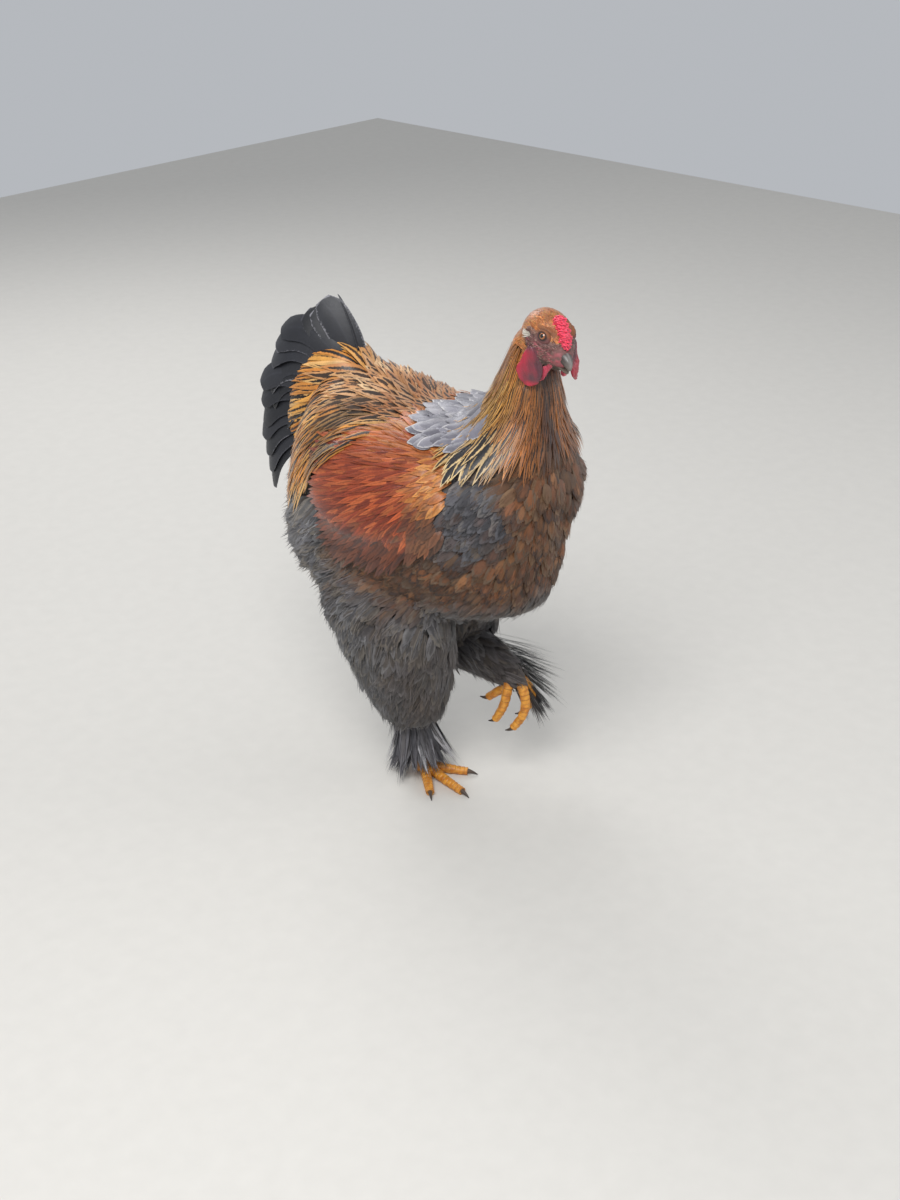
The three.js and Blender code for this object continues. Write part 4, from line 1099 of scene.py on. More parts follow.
class BRAHMA_PG_settings(bpy.types.PropertyGroup):
    """Sizes and colours that a user would change."""

    feather_width: bpy.props.FloatProperty(
        name="Feather Width", description="Width of all feathers against the standard", default=1.0,
        min=0.7, max=1.3, subtype="FACTOR")
    coat_spacing: bpy.props.FloatProperty(
        name="Coat Spacing", description="Distance between the roots of body feathers",
        default=0.0084, min=0.006, max=0.012, unit="LENGTH", subtype="DISTANCE")
    hackle_gold: bpy.props.FloatVectorProperty(
        name="Hackle Gold", description="Colour of the hackles' edges", default=linear("#c98d45")[:3],
        subtype="COLOR", size=3, min=0, max=1)
    comb_red: bpy.props.FloatVectorProperty(
        name="Comb Red", description="Colour of the comb", default=linear("#cc3a52")[:3],
        subtype="COLOR", size=3, min=0, max=1)
    toe_yellow: bpy.props.FloatVectorProperty(
        name="Toe Yellow", description="Colour of the toes' scales", default=linear("#cf8f34")[:3],
        subtype="COLOR", size=3, min=0, max=1)


def settings():
    return bpy.context.scene.brahma


class BRAHMA_OT_skin(BuildOperator, bpy.types.Operator):
    """Build the seamless skin of body, legs and head"""

    bl_idname = "brahma.skin"
    bl_label = "Skin"

    def execute(self, context):
        body = body_lie()
        _, core = body_colours(body.points, seeded("skin"))
        necked = smooth(470, 500, body.points[:, 2]) * smooth(-60, -100, body.points[:, 1])
        head, head_quads, head_tris = tube(on_head(head_skin_point(*grid(150, 200, HEAD_ENDS))))
        local = into_head(head)
        points, quads = [body.points, head], [body.quads, head_quads + len(body.points)]
        # The body's skin is the coat's core colour darkened to 0.55: painted shade that shows in the gaps
        # between feathers. At the neck's base it turns dark brown.
        tones = [blend(core * 0.55, "#4c3018", necked), head_tones(local)]
        places = [body_uv(body.points) * 0.7, 0.72 + 0.27 * head_uv(local)]
        for _, side in SIDES:
            lid_points, lid_quads, lid_tones = lid(side)
            quads.append(lid_quads + sum(map(len, points)))
            points.append(lid_points)
            tones.append(lid_tones)
            places.append(np.full((len(lid_points), 2), 0.99))
        faces = [np.concatenate(quads), head_tris + len(body.points)]
        obj = new_object("skin", np.concatenate(points), faces, material("skin"))
        paint(obj, "Rim", np.concatenate(tones))
        bake_map(obj, np.concatenate(places))
        hand_over(obj, "face_skin", "torso", "thigh_right", "thigh_left", "head")
        return {"FINISHED"}


def neck_hackles(coat, draw):
    """The narrow feathers round the neck and the cape's broad black and cream ones at its sides."""
    r, a = rows_on(cape_sheet, np.linspace(0.0, 0.9, 32), (0, 1), lambda r: 3.7 + 3.0 * r, draw)
    r = np.maximum(r, 0)
    turn = np.sin(TURN * a)
    mantle = smooth(0.3, 0.6, turn + draw.normal(0, 0.06, len(r))) * smooth(0.5, 0.62, r)
    r, a, turn = (values[mantle < 0.5] for values in (r, a, turn))
    n = len(r)
    side = hill((turn, -0.05, 0.4))
    low = smooth(0.42, 0.66, r + draw.normal(0, 0.05, n))
    shown = side * low
    lengths = mix(28, 62, np.clip(r, 0, 1) ** 0.8) * (1 + 0.2 * shown)
    lengths *= draw.uniform(0.85, 1.15, n) - draw.uniform(0, 0.3, n) * smooth(0.6, 0.85, r)
    half = mix(1.7, 3.4, np.clip(r, 0, 1)) * draw.uniform(0.75, 1.2, n) * settings().feather_width
    half *= 1 + 0.35 * shown
    # The cape ends where its tips reach the breast; at its sides few, broad and long feathers lie on top.
    step = 0.001
    reach = lengths / (np.linalg.norm(cape_sheet(r + step, a) - cape_sheet(r, a), axis=-1) / step)
    keep = r + reach < 0.95 + 0.05 * shown + draw.normal(0, 0.03, n)
    keep &= (shown < 0.45) | (draw.random(n) < 0.68)
    r, a, turn, low, shown, lengths, half = (
        values[keep] for values in (r, a, turn, low, shown, lengths, half))
    n = len(r)
    half = half * (1 + 0.75 * shown)
    under_lobe = smooth(0.3, 0.1, r) * smooth(0.25, -0.1, turn)
    centre, up, wide = on_sheet(cape_sheet, r, a, lengths, half, LANCE, [-3, 1.2, 2.4, 3.4, 4.2], draw,
                                stations=9, sway=3.2, ruffle=1.1)
    centre = centre + up * (1.6 * shown - 3.5 * under_lobe)[:, None, None]
    gold = blend(pick(draw, "#b98c48 #a87c3c #c49a58 #8f6c34", n, 0.12), np.array(settings().hackle_gold),
                 np.full(n, 0.25))
    red = pick(draw, "#a65c26 #b86a2c #8c4c20 #9a5c2c", n, 0.12)
    front = smooth(0.35, -0.6, turn)
    streak = wave_noise(np.stack([a * 90, r * 6, 0 * r], 1), 6, 14)
    rim = blend(gold, red, np.maximum(front * 0.85, smooth(0.2, 0.0, r) * 0.8))
    rim = rim * (1 + 0.25 * streak[:, None])
    rim = blend(rim, pick(draw, "#d9bb84 #c9a66a #e0c898", n, 0.08), np.clip(1.3 * shown, 0, 1))
    dark = pick(draw, "#33241a #3f2c1c #241c18", n, 0.15)
    core = blend(dark, pick(draw, "#17161a #1e1c20", n, 0.1), low)
    middle, width = mix(0.69, 0.73, smooth(0.1, 0.7, r)), mix(0.1, 0.045, smooth(0, 0.3, r))
    throat = hill((np.mod(a, 1), middle, width))
    slate = pick(draw, "#3a3436 #46403e #2c2828", n, 0.12)
    rim, core = blend(rim, slate, 0.85 * throat), blend(core, slate * 0.6, throat)
    tips = front * smooth(0.62, 0.82, r + draw.normal(0, 0.08, n))
    rim = blend(rim, pick(draw, "#4a3426 #3a2c26 #6a4428", n, 0.12), 0.75 * tips)
    stripe = mix(0.25, 0.62, np.clip(1.4 * shown, 0, 1)) + draw.normal(0, 0.06, n)
    coat.add(centre, up, wide, sheet_uv(r, a), np.clip(rim, 0, 1), core, stripe)


def mantle_feathers(coat, draw):
    """The broad pale grey feathers between the shoulders."""
    r, a = rows_on(cape_sheet, np.linspace(0.5, 0.95, 8), (0.04, 0.46), lambda r: 9.5, draw)
    n = len(r)
    lengths, half = draw.uniform(34, 44, n), draw.uniform(8.5, 11, n) * settings().feather_width
    centre, up, wide = on_sheet(cape_sheet, r, a, lengths, half, ROUND, [-3, 1.5, 3.2, 5.0], draw,
                                stations=8, sway=3.0, ruffle=1.0)
    tip = centre[:, -1]
    keep = (tip[:, 2] > 482 - 0.12 * np.minimum(tip[:, 1] + 60, 0)) & (tip[:, 1] < -12)
    centre, up, wide, r, a = (values[keep] for values in (centre, up, wide, r, a))
    n = len(r)
    lavender = pick(draw, "#77757f #85838c #68666f #8f8c93", n, 0.1)
    white = pick(draw, "#a19ea4 #8c8a91 #b2afb0", n, 0.08)
    coat.add(centre, up, wide, sheet_uv(r, a), white, lavender, 0.86 + draw.normal(0, 0.05, n),
             columns=(-1, -0.5, 0, 0.5, 1), crown=0.2)


class BRAHMA_OT_neck(BuildOperator, bpy.types.Operator):
    """Lay the hackles of the neck, the cape and the grey mantle between the shoulders"""

    bl_idname = "brahma.neck"
    bl_label = "Neck Hackles"

    def execute(self, context):
        draw = seeded("neck")
        coat = Coat()
        neck_hackles(coat, draw)
        mantle_feathers(coat, draw)
        coat.finish("neck_hackles", material("hackle"), "hackle_feathers", "neck")
        return {"FINISHED"}


class BRAHMA_OT_saddle(BuildOperator, bpy.types.Operator):
    """Lay the saddle hackles over the back and down the flanks"""

    bl_idname = "brahma.saddle"
    bl_label = "Saddle Hackles"

    def execute(self, context):
        draw = seeded("saddle")
        body = body_lie()
        spacing, stations = 7.4, 8

        def keep(p):
            x, y, z = np.abs(p[:, 0]), p[:, 1], p[:, 2]
            floor = 452 + np.where(y < 60, 0.4, 0.35) * (60 - y)
            tail = (y > 122) & (x < 30)
            return (y > np.where(x < 70, -44, -16)) & (y < 172) & (z > floor) & ~tail & (z < 530)

        roots, normals = body.roots(draw, spacing, keep)
        n = len(roots)
        x, y, z = np.abs(roots[:, 0]), roots[:, 1], roots[:, 2]
        ridge = smooth(62, 30, x) * smooth(105, 60, y)
        lengths = mix(84, 44, ridge) * draw.uniform(0.75, 1.15, n)
        paths, outs = body.walk(roots, normals, saddle_flow, lengths, stations, draw, stray=0.14)
        t = np.linspace(0, 1, stations)
        lift = np.interp(t, [0, 0.15, 0.5, 1], [-2, 4, 8, 11.5]) + draw.normal(0, 1.1, (n, 1)) * t
        lift += draw.uniform(0, 2.2, (n, 1)) * t**3 + (3.5 * smooth(50, 30, y))[:, None] * t
        half = mix(5.4, 7.2, ridge) * draw.uniform(0.8, 1.2, n) * settings().feather_width
        gold = pick(draw, "#dd9440 #e8a850 #c87c2c #d28a3c #ecb870", n, 0.1)
        cream = pick(draw, "#d8ae88 #cc9a70 #e4c49c #c08c66", n, 0.1)
        brown = pick(draw, "#7a5630 #64462a #94703e", n, 0.14)
        # A darker patch on the flank, and a dark seam over the wing's upper edge.
        middle = hill((z, 484, 15), (y, 26, 30)) * smooth(25, 40, x)
        seam = hill((z, 480, 16), (y, 38, 26)) * smooth(25, 45, x)
        rust = smooth(30, 8, y) * smooth(60, 30, x)
        rim = blend(blend(gold, cream, 0.8 * ridge), brown, 0.85 * middle)
        core = blend(pick(draw, "#1c1816 #2a211b #3a2a1e", n, 0.15), pick(draw, "#5c4638 #4a3c34", n, 0.12),
                     0.6 * ridge)
        dark = pick(draw, "#54381f #3f2c1e #6a4a28", n, 0.14)
        rim, core = blend(rim, dark, 0.75 * seam), blend(core, dark * 0.4, 0.6 * seam)
        rim = blend(rim, "#9a5c34", 0.6 * rust)
        stripe = 0.3 + 0.3 * middle + 0.02 * ridge + draw.normal(0, 0.1, n)
        coat = Coat()
        coat.add(paths + outs * lift[..., None], outs, half[:, None] * outline(LANCE, stations),
                 body_uv(roots), rim, core, stripe)
        coat.finish("saddle_hackles", material("hackle"), "hackle_feathers", "saddle")
        return {"FINISHED"}


class BRAHMA_OT_wings(BuildOperator, bpy.types.Operator):
    """Lay the coverts of both folded wings"""

    bl_idname = "brahma.wings"
    bl_label = "Wing Coverts"

    def execute(self, context):
        stations = 8
        for name, side in SIDES:
            draw = seeded("wings")
            sheet = wing_sheet(side)
            r, a = rows_on(sheet, np.linspace(8, 186, 27), (-0.3, 1.55), lambda r: 4.6 + r * 0.008, draw)
            y, z = wing_place(r, a)
            keep = (wing_height(y, z) > 1.5) & (y > -122 + draw.normal(0, 4, len(r)))
            keep &= (y < -30) | (z < 480 - 0.16 * (y + 30))
            r, a, y, z = (values[keep] for values in (r, a, y, z))
            n = len(r)
            out = smooth(30, 180, r)
            lengths = mix(34, 62, out) * draw.uniform(0.85, 1.12, n)
            half = mix(2.8, 4.6, out) * draw.uniform(0.8, 1.15, n) * settings().feather_width
            mahogany = pick(draw, "#98401f #a84c24 #86341a #b45a2e", n, 0.14)
            orange_highlight = pick(draw, "#c27834 #b5682c #cf8a44", n, 0.1)
            brown = pick(draw, "#4c2818 #5e3420 #3c2018", n, 0.14)
            # The upper part of the bow, and the top of its front, turn orange: painted highlight where the
            # light falls on the wing.
            top = smooth(462, 486, z + draw.normal(0, 6, n))
            low = smooth(408, 382, z + draw.normal(0, 6, n))
            front = smooth(-84, -112, y + draw.normal(0, 7, n))
            high = smooth(420, 446, z + draw.normal(0, 6, n))
            ahead = blend(pick(draw, "#6e4630 #7d5034 #5a3c2c", n, 0.12), orange_highlight, high)
            rim = blend(blend(blend(mahogany, orange_highlight, 0.8 * top), brown, 0.85 * low), ahead, front)
            core = rim * draw.uniform(0.5, 0.8, (n, 1))
            centre, up, wide = on_sheet(sheet, r, a, lengths * (1 - 0.35 * front), half * (1 + 0.5 * front),
                                        LANCE, [-3, 1.4, 2.6, 3.6, 4.6], draw, stations, sway=2.5)
            # The bow's lower edge stands off the flank.
            off = 5 * smooth(404, 384, z)
            centre = centre + up * off[:, None, None] * np.linspace(0, 1, stations)[:, None]
            uv = np.stack([(a + 0.35) / 2, r / 240], 1)
            coat = Coat()
            coat.add(centre, up, wide, uv, rim, core, 0.25 + draw.normal(0, 0.06, n))
            coat.finish("wing_coverts_" + name, material("wing"), "wing_feathers", "wing_" + name)
        return {"FINISHED"}


def tail_feather(side, tier, k, draw, stations):
    """Centre line and up side of one broad tail feather, k steps down its row."""
    t = np.linspace(0, 1, stations)
    rise = tier["rise"] - k * tier["fall"] + draw.normal(0, 1.5)
    bend = tier["bend"] + k * tier["more"] + draw.normal(0, 2.5)
    length = (tier["length"] + k * tier["grow"]) * draw.uniform(0.94, 1.03)
    lean = math.radians(tier["roof"] + draw.normal(0, 3))
    angle = np.radians(rise - bend * t)
    along = np.stack([np.full(stations, side * 0.1), np.cos(angle), np.sin(angle)], 1)
    steps = np.concatenate([[[0, 0, 0]], (along[1:] + along[:-1]) / 2 * (length / (stations - 1))])
    (y, z), (back, up) = tier["base"], tier["step"]
    start = np.array([side * (tier["across"] + k * tier["spread"]), y + k * back, z + k * up], float)
    out = np.stack([np.full(stations, side * math.cos(lean)), -np.sin(angle) * math.sin(lean),
                    np.cos(angle) * math.sin(lean)], 1)
    return start + np.cumsum(steps, 0), out


class BRAHMA_OT_tail(BuildOperator, bpy.types.Operator):
    """Raise the broad feathers of the tail and its drooping coverts"""

    bl_idname = "brahma.tail"
    bl_label = "Tail"

    def execute(self, context):
        draw = seeded("tail")
        stations = 16
        lines, outs, halves, uvs = [], [], [], []
        for _, side in SIDES:
            for number, tier in enumerate(TAIL_TIERS):
                for k in np.linspace(0, tier["down"], tier["count"]):
                    line, out = tail_feather(side, tier, k, draw, stations)
                    lines.append(line)
                    outs.append(out)
                    halves.append(tier["half"] * draw.uniform(0.98, 1.14))
                    uvs.append([0.5 + side * (0.06 + 0.1 * number), 0.1 + 0.15 * k])
        n = len(lines)
        wide = np.array(halves)[:, None] * outline(BROAD, stations) * settings().feather_width
        rim = pick(draw, "#6a696f #3c3c43 #2f3037 #4c4c53 #8a898f", n, 0.1)
        core = pick(draw, "#26272d #202126 #2e2f35 #1b1c21", n, 0.12)
        coat = Coat()
        coat.add(np.array(lines), np.array(outs), wide, np.array(uvs), rim, core,
                 0.97 + draw.normal(0, 0.03, n), columns=(-1, -0.55, 0, 0.55, 1), crown=0.14)
        coat.finish("tail_feathers", material("tail"), "tail_feathers", "tail")
        return {"FINISHED"}


class BRAHMA_OT_contour(BuildOperator, bpy.types.Operator):
    """Lay the rounded feathers of breast and shoulders"""

    bl_idname = "brahma.contour"
    bl_label = "Body Feathers"

    def execute(self, context):
        body = body_lie()
        stations = 6
        t = np.linspace(0, 1, stations)
        for name, side in SIDES:
            draw = seeded("contour")

            def keep(p):
                x, y, z = p.T
                zone = (breast_share(p) > 0.5) | ((z > 470) & (y < 30))
                below = (z < np.where(y < -72, 492, 506)) & (y > -203)
                return (x * side > 0) & zone & below & ~covered(p) & (z > 250)

            roots, normals = body.roots(draw, settings().coat_spacing / MM, keep)
            n = len(roots)
            paths, outs = body.walk(roots, normals, body_flow, draw.uniform(24, 33, n), stations, draw)
            lift = np.interp(t, [0, 0.2, 1], [-2, 2.5, 7.0]) + draw.normal(0, 0.9, (n, 1)) * t
            lift += 1.6 * wave_noise(roots, 26, 15)[:, None] * t
            # Feathers under the cape lie flat.
            hidden = smooth(452, 478, roots[:, 2]) * smooth(-55, -80, roots[:, 1])
            lift = lift * (1 - 0.75 * hidden)[:, None] - 1.5 * hidden[:, None]
            centre = paths + outs * lift[..., None]
            half = draw.uniform(6.4, 8.6, n)[:, None] * outline(ROUND, stations) * settings().feather_width
            rim, core = body_colours(roots, draw)
            back = smooth(466, 480, roots[:, 2]) * smooth(-90, -60, roots[:, 1])
            tan = pick(draw, "#b8713f #a9623a #c48552", n, 0.1)
            rim, core = blend(rim, tan, back), blend(core, tan * 0.5, back)
            uv = body_uv(roots)
            coat = Coat()
            coat.add(centre, outs, half, uv, rim, core, 0.55 + draw.normal(0, 0.08, n), crown=0.15)
            fringe(coat, draw, centre, outs, half.max(1), uv, rim, core, strands=4)
            coat.finish("body_feathers_" + name, material("contour"), "breast_feathers")
        return {"FINISHED"}


class BRAHMA_OT_fluff(BuildOperator, bpy.types.Operator):
    """Grow the down of thighs, belly and rear"""

    bl_idname = "brahma.fluff"
    bl_label = "Down"

    def execute(self, context):
        spacing = 8.0
        for name, side in SIDES:
            draw = seeded("down")

            def keep(p):
                x, y, z = p.T
                vent = (y > 152) & (np.abs(x) < 27) & (z < 520)
                foot = (y < -84) & (z < 186)
                clear = ((z < 420) | vent) & (z > 78)
                return (x * side > 0) & (breast_share(p) <= 0.62) & clear & ~covered(p) & ~foot

            roots, normals = body_lie().roots(draw, spacing, keep)
            rim, core = body_colours(roots, draw)
            coat = Coat()
            tufts(coat, draw, roots, normals, rim, core)
            coat.finish("down_" + name, material("down"), "fluff", "shank_" + name)
        return {"FINISHED"}


def toe_way(bearing):
    """Level direction of a toe of the standing foot."""
    angle = math.radians(bearing)
    return np.array([-math.sin(angle), -math.cos(angle), 0])


def standing_foot_feathers(draw, t):
    """Tiers of feathers that hang round the standing shank and fall over the foot."""
    for count, start, near, far, wide, above in FOOT_TIERS:
        for i in range(count):
            angle = TURN * (i + draw.uniform(-0.45, 0.45)) / count
            out = np.array([math.cos(angle), math.sin(angle), 0])
            over_toe = any(toe_way(bearing) @ out > 0.82 for bearing, _, _ in TOES.values())
            end = draw.uniform(15, 26) if over_toe else draw.uniform(3, 14)
            z = mix(start + draw.normal(0, 4), end + above, t)
            middle = np.stack([SOLE[0] - 2 * z / 50, SOLE[1] + 2 + z * 0.14, z], 1)
            reach = far * draw.uniform(0.75, 1.08) - near
            radius = near + reach * t**draw.uniform(1.1, 2.0) + 2.5 * (t > 0)
            drift = np.cross([0, 0, 1.0], out) * (draw.normal(0, 5) * t * t)[:, None]
            facing = unit(out + np.array([0, 0, 0.5]) + draw.normal(0, 0.25, 3))
            half = wide * draw.uniform(0.6, 1.2)
            uv = [0.02 + 0.46 * i / count, start / 110]
            yield middle + out * radius[:, None] + drift, facing, half, uv


def raised_foot_feathers(draw, t):
    """Feathers that leave the whole lifted shank and fan forward, outward and down past the toes."""
    facing = np.array([0.3, 0.35, 0.9])
    for _ in range(RAISED_FOOT_FEATHERS):
        share = draw.uniform(0, 1) ** 0.9
        root = through(SHANK_RAISED, np.clip(mix(0.38, 0.93, share) + draw.normal(0, 0.05), 0.3, 0.97))
        around = draw.uniform(-0.15, 0.65) * math.pi
        start = root[:3] + 0.75 * np.array([root[3] * math.cos(around), 0, root[4] * math.sin(around)])
        rise = mix(-0.12, -1.15, share) + draw.normal(0, 0.1)
        bearing = draw.normal(0.72, 0.14)
        level = math.cos(rise)
        d = unit(np.array([math.sin(bearing) * level, -math.cos(bearing) * level, math.sin(rise)]))
        out = unit(facing - d * (d @ facing))
        long = mix(98, 66, share) * draw.uniform(0.6, 1.0)
        line = start + d * (long * t)[:, None] + np.array([0, 0, -11.0]) * (t * t)[:, None]
        line = line + np.cross(d, out) * (draw.normal(0, 4) * t * t)[:, None] + out * (3 * t)[:, None]
        half = draw.choice([1.1, 1.7, 2.6, 5.2], p=[0.35, 0.35, 0.2, 0.1])
        yield line, out, half, [0.52 + 0.46 * share, 0.2 + 0.3 * around]


class BRAHMA_OT_foot_feathers(BuildOperator, bpy.types.Operator):
    """Spread the feathers of both feet"""

    bl_idname = "brahma.foot_feathers"
    bl_label = "Foot Feathers"

    def execute(self, context):
        draw = seeded("foot")
        stations = 8
        t = np.linspace(0, 1, stations)
        standing = list(standing_foot_feathers(draw, t))
        feathers = standing + list(raised_foot_feathers(draw, t))
        lines, outs, halves, uvs = (np.array(values) for values in zip(*feathers))
        outs = np.repeat(outs[:, None], stations, 1)
        n = len(feathers)
        rim = pick(draw, "#5e5c60 #6b6a6e #514f53 #767478 #b4b2b4", n, 0.14)
        core = pick(draw, "#454448 #3c3b3f #524f50", n, 0.14)
        # The upper tier is as dark as the thigh, the others lighter, and the lifted foot's nearly black.
        number = np.arange(n)
        gain = np.where(number >= len(standing), 0.42, np.where(number < FOOT_TIERS[0][0], 0.85, 1.25))
        rim, core = rim * gain[:, None], core * gain[:, None]
        coat = Coat()
        coat.add(lines, outs, halves[:, None] * outline(LANCE, stations), uvs, rim, core,
                 0.55 + draw.normal(0, 0.1, n))
        fringe(coat, draw, lines, outs, halves, uvs, rim, core, strands=5)
        # Tips rest on the floor.
        coat.points = [np.maximum(part, [-np.inf, -np.inf, 0.4]) for part in coat.points]
        coat.finish("foot_feathers", material("contour"), "fluff")
        return {"FINISHED"}


def head_flow(p):
    """Back along the head, then down the nape."""
    local = into_head(p)
    back = smooth(10, 30, local[:, 1])[:, None]
    way = np.tile([0, 1, -0.15], (len(p), 1))
    return mix(way @ HEAD_TURN.T, np.array([0, 0.5, -1.0]), back)


def head_lie():
    """The head's own skin as a surface with its normals outward."""
    points = on_head(head_skin_point(*grid(90, 120, HEAD_ENDS))).reshape(-1, 3)
    lie = Lie(points, grid_faces(90, 120)[:, ::-1])
    outward = points - on_head(HEAD_MIDDLE)
    if ((lie.normals * outward).sum(1) < 0).mean() > 0.5:
        lie.normals *= -1
    return lie


class BRAHMA_OT_head_feathers(BuildOperator, bpy.types.Operator):
    """Lay the short feathers of crown, nape, chin and ears"""

    bl_idname = "brahma.head_feathers"
    bl_label = "Head Feathers"

    def execute(self, context):
        skin = head_lie()
        draw = seeded("head")
        coat = Coat()

        def feathered(p):
            x, y, z = into_head(p).T
            x = np.abs(x)
            crown = (z > np.where(y < -12, 10.5, 13.5 - 0.2 * y)) & (y > -27) & ~((x < 5) & (y < 0))
            crown &= ((y + 11) / 8.6) ** 2 + ((z - 11) / 6.4) ** 2 > 1
            return crown | (y > 13) & (z > -14) | (z < -13) & (y > -22) | (y > 12) & (z < 2)

        def bare(p):
            _, y, z = into_head(p).T
            eye = ((y + 11) / 8.0) ** 2 + ((z - 10) / 6.5) ** 2 < 1
            return (y > -27) & (y < 14) & (z < 12) & (z > -24) & ~eye

        def lay(paths, outs, lift, half, roots, rim, core, stripe):
            wide = half * outline(STRAND, paths.shape[1])
            uv = head_uv(into_head(roots))
            coat.add(paths + outs * lift[..., None], outs, wide, uv, rim, core, stripe)

        roots, normals = skin.roots(draw, 1.7, feathered)
        n = len(roots)
        _, y, z = into_head(roots).T
        back = smooth(-5, 30, y)
        lengths = mix(5, 34, back**1.4) * draw.uniform(0.8, 1.15, n)
        paths, outs = body_lie().walk(roots, normals, head_flow, lengths, 6, draw, stray=0.12)
        t = np.linspace(0, 1, 6)
        lift = np.interp(t, [0, 0.3, 1], [0.2, 1.5, 1.8]) * mix(1, 2.8, back)[:, None]
        half = mix(0.7, 1.7, back) * draw.uniform(0.8, 1.2, n)
        rim = pick(draw, "#c0723c #cc8044 #aa602f #b57c42", n, 0.12)
        core = rim * draw.uniform(0.35, 0.7, (n, 1))
        chin = smooth(-8, -16, z) * smooth(9, -1, y)
        olive = pick(draw, "#5a5648 #4c4a42 #66604f", n, 0.12)
        rim, core = blend(rim, olive, chin), blend(core, olive * 0.6, chin)
        lay(paths, outs, lift, half[:, None], roots, rim, core, 0.2)
        # Bristles on the bare face.
        t = np.linspace(0, 1, 5)
        roots, normals = skin.roots(draw, 1.5, bare)
        n = len(roots)
        paths, outs = skin.walk(roots, normals, head_flow, draw.uniform(1.6, 3.6, n), 5, draw, stray=0.4)
        lift = np.interp(t, [0, 0.3, 1], [-0.2, 0.4, 0.9]) * draw.uniform(0.6, 1.4, (n, 1))
        bristle = pick(draw, "#8c6c62 #4a3634 #a88a7c #5c4038", n, 0.15)
        lay(paths, outs, lift, draw.uniform(0.16, 0.3, (n, 1)), roots, bristle, bristle * 0.7, 0.1)
        # White tufts over the ears.
        n = 70
        for _, side in SIDES:
            ear = on_head(np.array([side * 21.5, 8.5, 2.8]))
            near, out = skin.nearest(ear + draw.normal(0, 1.9, (n, 3)))
            paths, outs = skin.walk(near, out, head_flow, draw.uniform(4, 9, n), 5, draw, stray=0.35)
            lift = np.interp(t, [0, 0.3, 1], [-0.5, 1.2, 3.0]) * draw.uniform(0.6, 1.3, (n, 1))
            white = pick(draw, "#d8d0c2 #bfb6a8 #e6e0d4", n, 0.08)
            lay(paths, outs, lift, np.full((n, 1), 0.4), near, white, white * 0.8, 0.1)
        coat.finish("head_feathers", material("hackle"), "hackle_feathers")
        return {"FINISHED"}


def pea_comb():
    """The comb's beaded skin and how far each bead stands out."""
    size = 6.4
    u, v = grid(130, 110)
    angle = TURN * v
    ends = np.minimum(1, np.sqrt(np.sin(math.pi * np.clip(u, 0.02, 0.98))) * 1.25)
    radius = size * ends * (1 - 0.13 * np.cos(TURN * 6 * u) - 0.1 * np.cos(6 * angle))
    high = radius * np.sin(angle)
    along = np.stack([0 * u, mix(1, -33.5, u), mix(28.5, 8, u**1.8)], -1)
    comb = along + np.stack([radius * np.cos(angle), -0.45 * high, 0.9 * high], -1)
    out = unit(comb - along)
    bead = 0.9 * wave_noise(comb, 3.4, 91) + 0.4 * wave_noise(comb, 1.8, 92)
    return tube(on_head(comb + out * bead[..., None])), np.append(bead.ravel(), [0, 0])


def flap(kind, side):
    """A lobe or wattle with soft folds, and its colours from the front, darkened as painted shade, to the
    rear edge.
    """
    at, down, length, (out, back, _), half, thick, shaded_front_tone, rear_tone = FLAPS[kind]
    mirror = np.array([side, 1, 1])
    start, way = mirror * at, mirror * down
    if side > 0 and kind == "earlobe":
        # The far lobe stands a little further out and forward.
        start, way = start + np.array([1.5, -3.0, 1.0]), way + np.array([0.03, -0.02, 0])
    rows = [[*(start + way * length * t), thick * a, half * b] for t, a, b in FLAP_STATIONS]
    up = (side * out, back, 0)
    u, v = grid(70, 72)
    p = limb(rows, u, v, 0.0, up)
    fold = 1.3 * wave_noise(p * np.array([1, 1, 0.4]), 11, 95) + 0.4 * wave_noise(p, 3.5, 96)
    p = p + unit(p - limb(rows, u, v, -1.0, up)) * fold[..., None]
    # The front side is darkened as painted shade, and the colour follows the folds: lighter on their crests
    # and darker in their hollows, as painted light and shade.
    rear = smooth(-0.35, 0.95, np.sin(TURN * v)) * smooth(0.02, 0.2, u)
    edge = np.maximum(rear, smooth(0.66, 0.92, u) if side < 0 else smooth(0.2, 0.5, u))
    share = np.append(np.clip(edge + 0.22 * fold, 0, 1).ravel(), [0, 1])
    return tube(on_head(p)), blend(shaded_front_tone, rear_tone, share)


class BRAHMA_OT_comb(BuildOperator, bpy.types.Operator):
    """Shape the pea comb, the wattles and the ear lobes"""

    bl_idname = "brahma.comb"
    bl_label = "Comb and Lobes"

    def execute(self, context):
        shape, bead = pea_comb()
        # The comb is lighter on its beads and darker in the pits between them: painted light on the beads
        # and painted shade in the pits.
        tone = np.clip(np.array(settings().comb_red) * (1 + 0.55 * bead[:, None]), 0, 1)
        solid("comb_skin", shape, "comb", tone, "comb_skin", "comb")
        for kind in FLAPS:
            for name, side in SIDES:
                shape, tone = flap(kind, side)
                solid(kind + "_skin_" + name, shape, "comb", tone, "comb_skin", kind + "_" + name)
        return {"FINISHED"}


